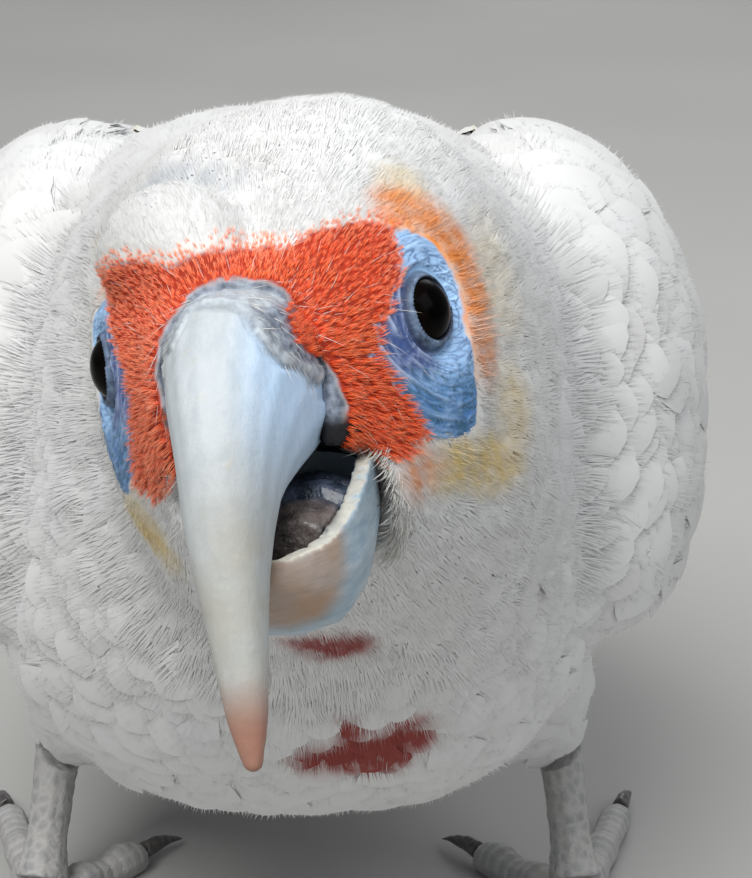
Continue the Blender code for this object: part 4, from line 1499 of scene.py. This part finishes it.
def hairPlaces(kind, points, normals):
    # where each kind of pale hair grows, and which way it lies
    marks = markings(points)
    q = marks["head"]
    flow = flowAt(points, normals)
    down = -headAxes[:, 2][None, :] * np.ones((len(points), 1))
    along = np.cross(normals, flow)
    along = along * np.where(np.sum(along * down, axis=1) < 0, -1.0, 1.0)[:, None]
    nearBill = -marks["cereIn"]
    if kind == "cereStrands":
        return (marks["cere"] > 0.3) & (marks["angle"] < 102), unit(along + 0.12 * flow)
    if kind == "cornerStrands":
        corner = (marks["angle"] > 98) & (marks["angle"] < 121)
        return (marks["cere"] > 0.3) & corner, unit(along + 0.12 * flow)
    if kind == "rootStrands":
        past, angle = pastHorn(q)
        return (past > 0.5) & (past < 2.4) & (angle > 24) & (angle < 112) & (q[:, 1] < -14.0), unit(along)
    if kind == "billCombs":
        beside = (nearBill < 2.2) & (marks["angle"] > 35) & (marks["angle"] < 98)
        return (marks["red"] > 0.4) & beside, unit(flow + 0.35 * down)
    if kind == "loreHairs":
        return (marks["red"] > 0.4) & (q[:, 2] < 2.0) & (q[:, 0] > 4.0), unit(flow + 0.6 * down)
    if kind == "crownHairs":
        return (marks["red"] > 0.4) & (q[:, 2] > 0.0), flow
    if kind == "jawFringe":
        beside = (q[:, 0] > 11.2) & (q[:, 0] < 14.2) & (q[:, 1] > -13.0) & (q[:, 1] < 0.0)
        toJaw = np.array((-1.0, -0.25, -0.35)) @ headAxes.T
        return beside & (q[:, 2] < -14.5) & (q[:, 2] > -29.0), np.ones((len(points), 1)) * toJaw
    side = np.sign(q[:, 0])[:, None]
    dy, dz = q[:, 1] - headPose["eyeBack"], q[:, 2] - headPose["eyeUp"]
    circling = unit(np.stack([0 * dy, -dz, dy], axis=1)) @ headAxes.T
    circling = circling * np.where(np.sum(circling * down, axis=1) < 0, -1.0, 1.0)[:, None]
    far = np.hypot(dy, dz)
    if kind == "patchStrings":
        ahead = (dy < -1.0) & (far > 7.4) & (far < 12.0)
        return (marks["bare"] > 0.6) & ahead, unit(circling + 0.15 * side * down)
    if kind == "patchBristles":
        low = ramp(q[:, 2], -5.0, -9.0) * (marks["patchOut"] > -7.0)
        return (marks["bare"] > 0.6) & (far > 5.8) & (low > 0.2), unit(flow + 0.5 * down)
    plain = (marks["red"] < 0.3) & (marks["bare"] < 0.5) & (marks["cere"] < 0.3) & (marks["gape"] < 0.3)
    if kind == "faceHairs":
        return plain & (np.linalg.norm(q - billRoot, axis=1) < 44.0), flow
    rim = (marks["patchOut"] > -0.6) & (marks["patchOut"] < 4.5) & (np.abs(q[:, 0]) > 11.0) & (dy > -3.0)
    return rim & plain, flow


def growHairs(name, mesh, kinds):
    parts = []
    for kind in kinds:
        gap, size, lift, wide, loose = hairSets[kind]

        def allowed(points):
            outward = unit(points - fromHead((0.0, 14.0, -8.0)))
            return hairPlaces(kind, points, outward)[0].astype(float)

        def spacing(points):
            return np.full(len(points), gap)

        roots, normals = scatter(mesh, spacing, 6.0, allowed)
        count = len(roots)
        headings = hairPlaces(kind, roots, normals)[1]
        headings = headings - normals * np.sum(headings * normals, axis=1, keepdims=True)
        headings = unit(unit(headings) + np.cross(normals, headings) * dice.normal(0, loose, count)[:, None])
        length = size * dice.uniform(0.6, 1.25, count)
        stand = np.clip(lift + dice.normal(0, 0.3 * lift, count), 0.0, 1.2)
        parts.append((roots, normals, headings, length, stand, wide * dice.uniform(0.7, 1.3, count)))
    joined = [np.concatenate(values) for values in zip(*parts)]
    return layBristles(name, *joined, dice.random(len(joined[0])))


def featherMaterial(name, white, sheen):
    material, tree, shader = newMaterial(name, sheen=sheen, specular=0.3)
    colour = useGroup(tree, "plumage", White=white, Shade=maskNode(tree, "shade"))
    tree.links.new(colour, shader.inputs["Base Color"])
    shader.inputs["Roughness"].default_value = 0.7
    return material


def blueHairMaterial():
    material, tree, shader = newMaterial("blueHair", specular=0.3)
    colour = mixed(tree, maskNode(tree, "shade"), (0.03, 0.09, 0.12), (0.14, 0.26, 0.32))
    tree.links.new(colour, shader.inputs["Base Color"])
    shader.inputs["Roughness"].default_value = 0.6
    return material


def bristleMaterial():
    material, tree, shader = newMaterial("bristleKeratin", specular=0.2)
    tip = maskNode(tree, "tip")
    colour = useGroup(tree, "bristle", Shade=maskNode(tree, "shade"), Tip=tip)
    faded = times(tree, maskNode(tree, "fade"), tip, clamp=True)
    colour = mixed(tree, faded, colour, bristleColours["faded"])
    tree.links.new(colour, shader.inputs["Base Color"])
    shader.inputs["Roughness"].default_value = 0.5
    return material


# flight feathers and tail
flightLook = {
    "rows": 26,
    "stops": (-1.0, -0.75, -0.5, -0.25, -0.07, 0.0, 0.07, 0.25, 0.5, 0.75, 1.0),
    "shaft": 0.30,
    "axisY": -9.0,
    "axisZ": 77.0,
    "axisSlope": 0.34,
    "bodyEnd": -2.0,
    "topEnd": 12.0,
    "bodyGap": 4.6,
    "tuck": 3.2,
    "sag": 5.6,
    "lean": 0.62,
    "rise": 0.3,
    "camber": 0.10,
    "slant": 0.03,
}


def flightPattern(chance, blunt, lean):
    # a long vane with a raised shaft, one side narrower than the other, and small splits in its edges
    along, across, lift, side, tris = [], [], [], [], []
    rows, stops = flightLook["rows"], flightLook["stops"]
    for i in range(rows + 1):
        share = i / rows
        end = max(1.0 - max(share - 1 + blunt, 0.0) ** 2 / blunt**2, 0.0) ** 0.5
        base = min(share / 0.18, 1.0) ** 0.6
        for t in stops:
            edge = 1.0
            if abs(t) > 0.9:
                edge = chance.uniform(0.92, 1.0) if chance.random() > 0.07 else chance.uniform(0.74, 0.88)
            narrow = lean if t > 0 else 1.0
            along.append(share - 0.02 * t * t)
            across.append(t * edge * narrow * max(end, 0.03) * max(base, 0.25))
            lift.append(0.0)
            side.append(0.5 + 0.5 * t)
    wide = len(stops)
    for i in range(rows):
        for j in range(wide - 1):
            k = i * wide + j
            tris += [(k, k + wide + 1, k + 1), (k, k + wide, k + wide + 1)]
    return tuple(np.array(part, float) for part in (along, across, lift, side)) + (np.array(tris),)


def wingGuide(tree, side, y, angle, lift):
    # the point on the folded wing at this place along it and this angle round it
    high = flightLook["axisZ"] - (y - flightLook["axisY"]) * flightLook["axisSlope"]
    axis = Vector((0.0, y * mm, high * mm))
    turn = math.radians(angle)
    outward = Vector((side * math.cos(turn), 0.0, math.sin(turn)))
    spot, normal, _index, _far = tree.ray_cast(axis + outward * 0.12, -outward)
    if spot is None:
        spot, normal = axis + outward * 0.012, outward
    if normal.dot(outward) < 0:
        normal = -normal
    normal = (normal + outward * 0.6).normalized()
    return np.array(spot + outward * lift * mm), np.array(normal)


flightRows = {
    # first and last feather: y of root, y of tip, angle of root, angle of tip, half width, lift
    "medianCoverts": {
        "count": 18, "from": (-26, 6, -12, -14, 5.2, 1.1), "to": (-6, 22, 64, 66, 5.2, -1.0), "blunt": 0.5,
    },
    "greaterCoverts": {
        "count": 13, "from": (-10, 30, -12, -14, 5.4, 0.8), "to": (12, 54, 70, 80, 6.4, 0.4), "blunt": 0.34,
    },
    "secondaries": {
        "count": 12, "from": (12, 66, -8, 2, 6.4, 0.4), "to": (34, 104, 74, 88, 8.6, 1.2), "blunt": 0.26,
    },
    "primaries": {
        "count": 8, "from": (50, 122, 4, 22, 5.6, 0.1), "to": (62, 161, 52, 58, 6.4, 0.9), "blunt": 0.2,
    },
}


def wobbleOf(n):
    # a small fixed unevenness from one feather to the next
    return math.sin(n * 12.9898) * math.cos(n * 4.1)


def layLongFeather(pattern, side, stops, outs, half, rise, camber, slant=0.0):
    # one feather over its four stops, its narrow side outwards and its shaft raised
    if side > 0:
        pattern = (pattern[0], -pattern[1], pattern[2], pattern[3], pattern[4][:, ::-1])
    spots, lit = layFeathers(pattern, np.array([stops]), np.array([outs]), half, rise, camber, 0.0, slant)
    near = np.exp(-((pattern[1] / 0.05) ** 2))
    return pattern, spots + lit * (near * flightLook["shaft"] * mm)[None, :, None], lit


def growFlight(name, side, tree):
    batches = []
    for key in ("primaries", "secondaries", "greaterCoverts", "medianCoverts"):
        row = flightRows[key]
        for n in range(row["count"]):
            share = n / (row["count"] - 1)
            first, last = np.array(row["from"], float), np.array(row["to"], float)
            y0, y1, a0, a1, half, lift = first + (last - first) * share
            y1 = y1 + wobbleOf(n + len(key)) * 0.03 * (y1 - y0)
            stops, outs = [], []
            for k in range(4):
                s = k / 3
                above = lift * (0.2 + 0.8 * s) + 0.2 - flightLook["tuck"] * (1 - s) ** 3
                spot, out = wingGuide(tree, side, y0 + (y1 - y0) * s, a0 + (a1 - a0) * s, above)
                stops.append(spot)
                outs.append(out)
            chance = np.random.default_rng(n * 7 + len(key))
            look = flightLook
            pattern = flightPattern(chance, row["blunt"], look["lean"])
            pattern, spots, lit = layLongFeather(
                pattern, side, stops, outs, half, look["rise"], look["camber"], look["slant"]
            )
            # the feathers next to the back bend down over it
            grid = spots[0].reshape(flightLook["rows"] + 1, -1, 3)
            inner = np.clip((np.abs(grid[:, 5:6, 0]) - np.abs(grid[:, :, 0])) / (half * mm), 0, 1)
            grid[:, :, 2] -= flightLook["sag"] * share**3 * inner**2 * mm
            batches.append(((spots, lit), pattern, spots[:, 5], chance.random(1)))
    return joinFeathers(name, batches)


tailLook = {
    "pairs": 6,
    "rootY": 62.0,
    "tipY": 171.0,
    "rootOut": 1.6,
    "tipOut": 3.9,
    "half": 7.2,
    "lift": 0.5,
    "drop": 0.32,
    "shorter": 1.2,
    "blunt": 0.12,
    "lean": 0.55,
    "rise": 0.2,
    "camber": 0.06,
}


def growTail(tree):
    batches = []
    look = tailLook
    for n in range(look["pairs"]):
        for hand in (1.0, -1.0):
            stops, outs = [], []
            y1 = look["tipY"] - n * look["shorter"]
            for k in range(4):
                s = k / 3
                y = look["rootY"] + (y1 - look["rootY"]) * s
                x = hand * ((look["rootOut"] * (n + 0.5)) * (1 - s) + (look["tipOut"] * n + 1.5) * s)
                spot = tree.ray_cast(Vector((x * mm, y * mm, 0.2)), Vector((0, 0, -1)))[0]
                if spot is None:
                    height = stops[-1][2] - 0.0105 if stops else 0.04
                    spot = Vector((x * mm, y * mm, height))
                lift = look["lift"] - n * look["drop"] * (0.4 + 0.6 * s)
                stops.append(np.array(spot) + np.array((0, 0, lift * mm)))
                outs.append(unit(np.array((hand * 0.05 * n, 0.31, 0.95))))
            chance = np.random.default_rng(60 + n)
            pattern = flightPattern(chance, look["blunt"], look["lean"])
            pattern, spots, lit = layLongFeather(
                pattern, hand, stops, outs, look["half"], look["rise"], look["camber"]
            )
            batches.append(((spots, lit), pattern, spots[:, 5], chance.random(1)))
    return joinFeathers("tailFeathers", batches)


rumpLook = {
    # y of root, y of tip, how many, half spread at root and tip, half width, lift
    "rows": (
        (36.0, 74.0, 7, 12.0, 13.0, 5.6, 0.8),
        (26.0, 66.0, 8, 15.0, 14.0, 5.4, 2.0),
        (14.0, 48.0, 8, 16.0, 15.0, 5.0, 2.6),
    ),
    "tuck": 2.0,
    "blunt": 0.4,
    "rise": 0.2,
    "camber": 0.08,
}


def growRump(tree):
    # rump feathers and upper tail coverts, which close the gap between the folded wings
    batches = []
    for rootY, tipY, count, rootHalf, tipHalf, half, lift in rumpLook["rows"]:
        for n in range(count):
            place = -1 + 2 * n / (count - 1)
            stops = []
            for k in range(4):
                s = k / 3
                x = place * (rootHalf + (tipHalf - rootHalf) * s)
                y = rootY + (tipY + 1.5 * wobbleOf(n) - 4.0 * abs(place) - rootY) * s
                spot = tree.ray_cast(Vector((x * mm, y * mm, 0.2)), Vector((0, 0, -1)))[0]
                stops.append([x * mm, y * mm, spot[2] if spot is not None else 0.04])
            stops = np.array(stops)
            s = np.arange(4) / 3
            straight = stops[0, 2] + (stops[3, 2] - stops[0, 2]) * s
            above = (lift * s - rumpLook["tuck"] * (1 - s) ** 3) * mm
            stops[:, 2] = np.maximum(stops[:, 2], straight) + above
            outs = np.tile(unit(np.array((0.35 * place, 0.35, 0.9))), (4, 1))
            pattern = flightPattern(np.random.default_rng(80 + n), rumpLook["blunt"], 1.0)
            spots, lit = layFeathers(pattern, stops[None], outs[None], half,
                                     rumpLook["rise"], rumpLook["camber"], 0.0, 0.0)
            batches.append(((spots, lit), pattern, spots[:, 5], np.array([0.5 + 0.5 * wobbleOf(n + 3)])))
    return joinFeathers("rumpCoverts", batches)


def flightMaterial():
    material, tree, shader = newMaterial("flightPlumage", sheen=0.12, specular=0.35)
    look = plumageColours
    vane = useGroup(tree, "plumage", White=look["flight"], Shade=maskNode(tree, "shade"))
    across = maths(tree, "ABSOLUTE", maskNode(tree, "across"))
    colour = mixed(tree, ranged(tree, across, 0.05, 0.09), look["shaft"], vane)
    tree.links.new(colour, shader.inputs["Base Color"])
    shader.inputs["Roughness"].default_value = 0.6
    # barbs run forward and out from the shaft
    along = times(tree, maskNode(tree, "tip"), 520.0)
    line = maths(tree, "SUBTRACT", along, times(tree, across, 46.0))
    addBump(tree, shader, maths(tree, "SINE", line), 0.25, 0.25)
    return material


# legs and claws
footLook = {
    "voxel": 0.46,
    "clawVoxel": 0.26,
    "rounds": 8,
    "clawRounds": 12,
    "scute": 2.1,
    "groove": 0.24,
    "scale": 0.20,
    "clawRidge": 0.05,
    "foot": (46.0, -29.94),
    "heel": (43.5, -15.94, 26.5),
    "hip": (27.0, -26.94, 56.0),
    "stump": 3.1,
    "sole": 0.05,
}


def buildFoot(name, side):
    nodes = ["tarsus_" + name] + [f"toe_{n}_{name}" for n in range(1, 5)]
    forms = [cadCopy(node, 0.2) for node in nodes]
    # a stump that runs from the heel up into the feathers of the thigh
    mirror = np.array((side, 1.0, 1.0))
    heel, hip = np.array(footLook["heel"]), np.array(footLook["hip"])
    for k in range(6):
        place = heel + (hip - heel) * k * 0.09
        forms.append(ballForm(place * mirror * mm, [footLook["stump"] * mm] * 3))
    mesh = voxelMesh("foot_" + name, forms, footLook["voxel"])
    relax(mesh, footLook["rounds"])
    points, normals = vertsOf(mesh), normalsOf(mesh)
    centre = np.array((side * footLook["foot"][0], footLook["foot"][1], 0.0)) * mm
    rise = np.zeros(len(points))
    flat = (points - centre) / mm
    reach = np.hypot(flat[:, 0], flat[:, 1])
    onToe = ramp(reach, 7.0, 9.5) * ramp(points[:, 2] / mm, 12.0, 9.0)
    upper = ramp(normals[:, 2], -0.2, 0.45)
    phase = reach / footLook["scute"] + 0.12 * np.sin(np.arctan2(flat[:, 1], flat[:, 0]) * 9.0)
    groove = np.abs(np.sin(phase * math.pi)) ** 0.5
    rise += footLook["groove"] * (groove - 0.8) * onToe * upper
    shank = 1.0 - onToe
    for i in range(len(points)):
        x, y, z = points[i] / mm
        cell = noise.voronoi(Vector((x * 0.52, y * 0.52, z * 0.44)))[0]
        edge = min((cell[1] - cell[0]) * 2.4, 1.0)
        rise[i] += footLook["scale"] * (edge - 0.75) * max(shank[i], 0.5 * (1 - upper[i]))
    points = points + normals * rise[:, None] * mm
    points[:, 2] = np.maximum(points[:, 2], footLook["sole"] * mm)
    setVerts(mesh, points)
    setFloats(mesh, "groove", np.clip(0.5 - rise * 3.0, 0, 1))
    return mesh, nodes


def buildClaws(name):
    nodes = [f"claw_{n}_{name}" for n in range(1, 5)]
    mesh = voxelMesh("claws_" + name, [cadCopy(node) for node in nodes], footLook["clawVoxel"])
    relax(mesh, footLook["clawRounds"])
    points, normals = vertsOf(mesh), normalsOf(mesh)
    ridge = footLook["clawRidge"] * np.sin(points[:, 2] / mm * 3.1 + points[:, 0] / mm * 2.0)
    points = points + normals * ridge[:, None] * mm
    points[:, 2] = np.maximum(points[:, 2], footLook["sole"] * mm)
    setVerts(mesh, points)
    return mesh, nodes


footColours = {
    "scales": ((0.17, 0.18, 0.20), (0.30, 0.31, 0.33)),
    "dust": (0.42, 0.39, 0.35),
    "grooves": (0.55, 0.54, 0.52),
    "claws": ((0.035, 0.033, 0.035), (0.12, 0.11, 0.105)),
}


def footMaterial():
    material, tree, shader = newMaterial("scalyFoot", specular=0.35)
    look = footColours
    cloud = speckle(tree, 300.0, detail=4.0)
    colour = mixed(tree, cloud, *look["scales"])
    colour = mixed(tree, times(tree, speckle(tree, 120.0), 0.4), colour, look["dust"])
    colour = mixed(tree, times(tree, maskNode(tree, "groove"), 0.75), colour, look["grooves"])
    tree.links.new(colour, shader.inputs["Base Color"])
    tree.links.new(ranged(tree, cloud, 0.0, 1.0, 0.5, 0.75), shader.inputs["Roughness"])
    addBump(tree, shader, speckle(tree, 1600.0), 0.5, 0.15)
    return material


def clawMaterial():
    material, tree, shader = newMaterial("clawHorn", coat=0.2, coatRough=0.3)
    grain = speckle(tree, 800.0, detail=4.0, stretch=(1.0, 1.0, 0.3))
    tree.links.new(mixed(tree, grain, *footColours["claws"]), shader.inputs["Base Color"])
    tree.links.new(ranged(tree, grain, 0.0, 1.0, 0.3, 0.5), shader.inputs["Roughness"])
    addBump(tree, shader, grain, 0.3, 0.1)
    return material


# stage
stageLook = {
    "cameraBack": 260.0,
    "cameraRight": 12.6,
    "cameraDown": 11.9,
    "elevation": 20.0,
    "lens": 93.4032,
    "floor": 6.0,
    "floorGreys": ((0.39, 0.39, 0.38), (0.43, 0.43, 0.42)),
    "skyColour": (0.93, 0.96, 1.0, 1.0),
    "skyStrength": 0.20,
    # place, size, power and colour
    "lights": {
        "key": ((-0.30, -0.76, 1.28), 0.9, 25.0, (1.0, 0.99, 0.97)),
        "fill": ((0.95, -0.6, 1.1), 0.9, 5.2, (0.95, 0.97, 1.0)),
        "rim": ((0.3, 1.1, 1.0), 0.8, 6.0, (1.0, 1.0, 1.0)),
    },
}


def addCamera():
    tilt = math.radians(stageLook["elevation"])
    back = np.array((0.0, -math.cos(tilt), math.sin(tilt)))
    up = np.array((0.0, math.sin(tilt), math.cos(tilt)))
    right = np.array((1.0, 0.0, 0.0))
    place = eyeLine + (right * stageLook["cameraRight"] - up * stageLook["cameraDown"]) * mm
    place = place + back * stageLook["cameraBack"] * mm
    camera = bpy.data.objects.new("camera", bpy.data.cameras.new("camera"))
    bpy.context.scene.collection.objects.link(camera)
    axes = Matrix(np.stack([right, up, back], axis=1).tolist())
    camera.matrix_world = Matrix.Translation(Vector(place)) @ axes.to_4x4()
    camera.data.lens = stageLook["lens"]
    camera.data.sensor_width = 36.0
    camera.data.clip_start = 0.01
    camera.data.clip_end = 20.0
    bpy.context.scene.camera = camera


def addLight(name, place, size, power, colour):
    lamp = bpy.data.lights.new(name, "AREA")
    lamp.size = size
    lamp.energy = power
    lamp.color = colour
    light = bpy.data.objects.new(name, lamp)
    bpy.context.scene.collection.objects.link(light)
    light.location = place
    light.rotation_euler = (Vector(eyeLine) - Vector(place)).to_track_quat("-Z", "Y").to_euler()


def floorMaterial():
    material, tree, shader = newMaterial("studioFloor", specular=0.2)
    cloud = speckle(tree, 3.0, detail=2.0)
    tree.links.new(mixed(tree, cloud, *stageLook["floorGreys"]), shader.inputs["Base Color"])
    shader.inputs["Roughness"].default_value = 0.8
    return material


def addStage():
    form = bmesh.new()
    bmesh.ops.create_grid(form, x_segments=1, y_segments=1, size=stageLook["floor"] / 2)
    floor = showPiece("floor", meshFrom("floor", [form]), floorMaterial(), smooth=False)
    world = bpy.data.worlds.new("studio")
    bpy.context.scene.world = world
    world.use_nodes = True
    sky = world.node_tree.nodes["Background"]
    sky.inputs["Color"].default_value = stageLook["skyColour"]
    sky.inputs["Strength"].default_value = stageLook["skyStrength"]
    for name, values in stageLook["lights"].items():
        addLight(name, *values)
    addCamera()
    bpy.context.scene.view_settings.view_transform = "Standard"
    print("stage ready")


# put together
def carry(name, mesh, material, nodes=()):
    # a finished piece takes the place of its nodes and rides on the bird's one body
    piece = showPiece(name, mesh, material)
    if nodes:
        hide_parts(*nodes)
    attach(piece, "root")


def guideOf(nodes):
    # the CAD shapes that long feathers are laid over
    mesh = meshFrom("guide", [cadCopy(node) for node in nodes])
    tree = treeOf(mesh)
    bpy.data.meshes.remove(mesh)
    return tree


def makeSkin():
    mesh = buildSkin()
    marks = markPoints(mesh)
    carveLids(mesh)
    markPatch(mesh, marks)
    wrinkleFace(mesh)
    carry("skin", mesh, skinMaterial(), fleshNodes)
    print("skin ready,", len(mesh.polygons), "faces")
    return mesh


def makeEyes():
    wet = eyeMaterial()
    for name, side in sides.items():
        carry("eyeball_" + name, buildEye(name, side), wet, ["eye_" + name])
    print("eyes ready")


def makeBill():
    upper = buildUpperBill()
    carry("upperBill", upper, billMaterial(), ["bill_upper"])
    carry("lowerBill", buildLowerBill(), jawMaterial(), ["bill_lower"])
    carry("tonguePiece", buildTongue(), tongueMaterial(), ["tongue"])
    print("bill and tongue ready")
    return upper


def makeCoat(skinMesh, billMesh):
    carry("redBristles", growBristles(skinMesh, billMesh), bristleMaterial())
    pale = [kind for kind in hairSets if kind not in ("patchBristles", "rootStrands")]
    paleHair = featherMaterial("paleHair", plumageColours["hair"], 0.05)
    carry("paleHairs", growHairs("paleHairs", skinMesh, pale), paleHair)
    carry("rootHairs", growHairs("rootHairs", billMesh, ["rootStrands"]), paleHair)
    carry("blueHairs", growHairs("blueHairs", skinMesh, ["patchBristles"]), blueHairMaterial())
    tree = treeOf(skinMesh)
    wings = [guideOf(["wing_" + name, "primaries_" + name]) for name in sides]

    def onFlight(points):
        # the part of the folded wing that the flight feathers and their coverts hide
        turn = np.degrees(np.arctan2(points[:, 2] / mm - flightLook["axisZ"], np.abs(points[:, 0]) / mm))
        rear = points[:, 1] / mm > flightLook["bodyEnd"] + flightLook["topEnd"] * ramp(turn, 45.0, 65.0)
        for i in np.flatnonzero(rear):
            near = min(wing.find_nearest(Vector(points[i]))[3] for wing in wings)
            rear[i] = near < flightLook["bodyGap"] * mm
        return rear

    white = featherMaterial("whitePlumage", plumageColours["body"], 0.12)
    for name, zone in coatZones.items():
        carry(name, growZone(name, zone, skinMesh, tree, onFlight), white)


def makeWingsAndTail():
    flight = flightMaterial()
    for name, side in sides.items():
        cover = guideOf(["wing_" + name, "primaries_" + name, "trunk"])
        feathers = growFlight("flight_" + name, side, cover)
        carry("flight_" + name, feathers, flight, ["primaries_" + name])
    carry("tailFeathers", growTail(guideOf(["tail"])), flight, ["tail"])
    carry("rumpCoverts", growRump(guideOf(["tail", "trunk"])), flight)


def makeFeet():
    scaly, horny = footMaterial(), clawMaterial()
    for name, side in sides.items():
        foot, nodes = buildFoot(name, side)
        carry("foot_" + name, foot, scaly, nodes)
        claws, nodes = buildClaws(name)
        carry("claws_" + name, claws, horny, nodes)
    print("feet ready")


skinMesh = makeSkin()
makeEyes()
makeCoat(skinMesh, makeBill())
makeWingsAndTail()
makeFeet()
addStage()
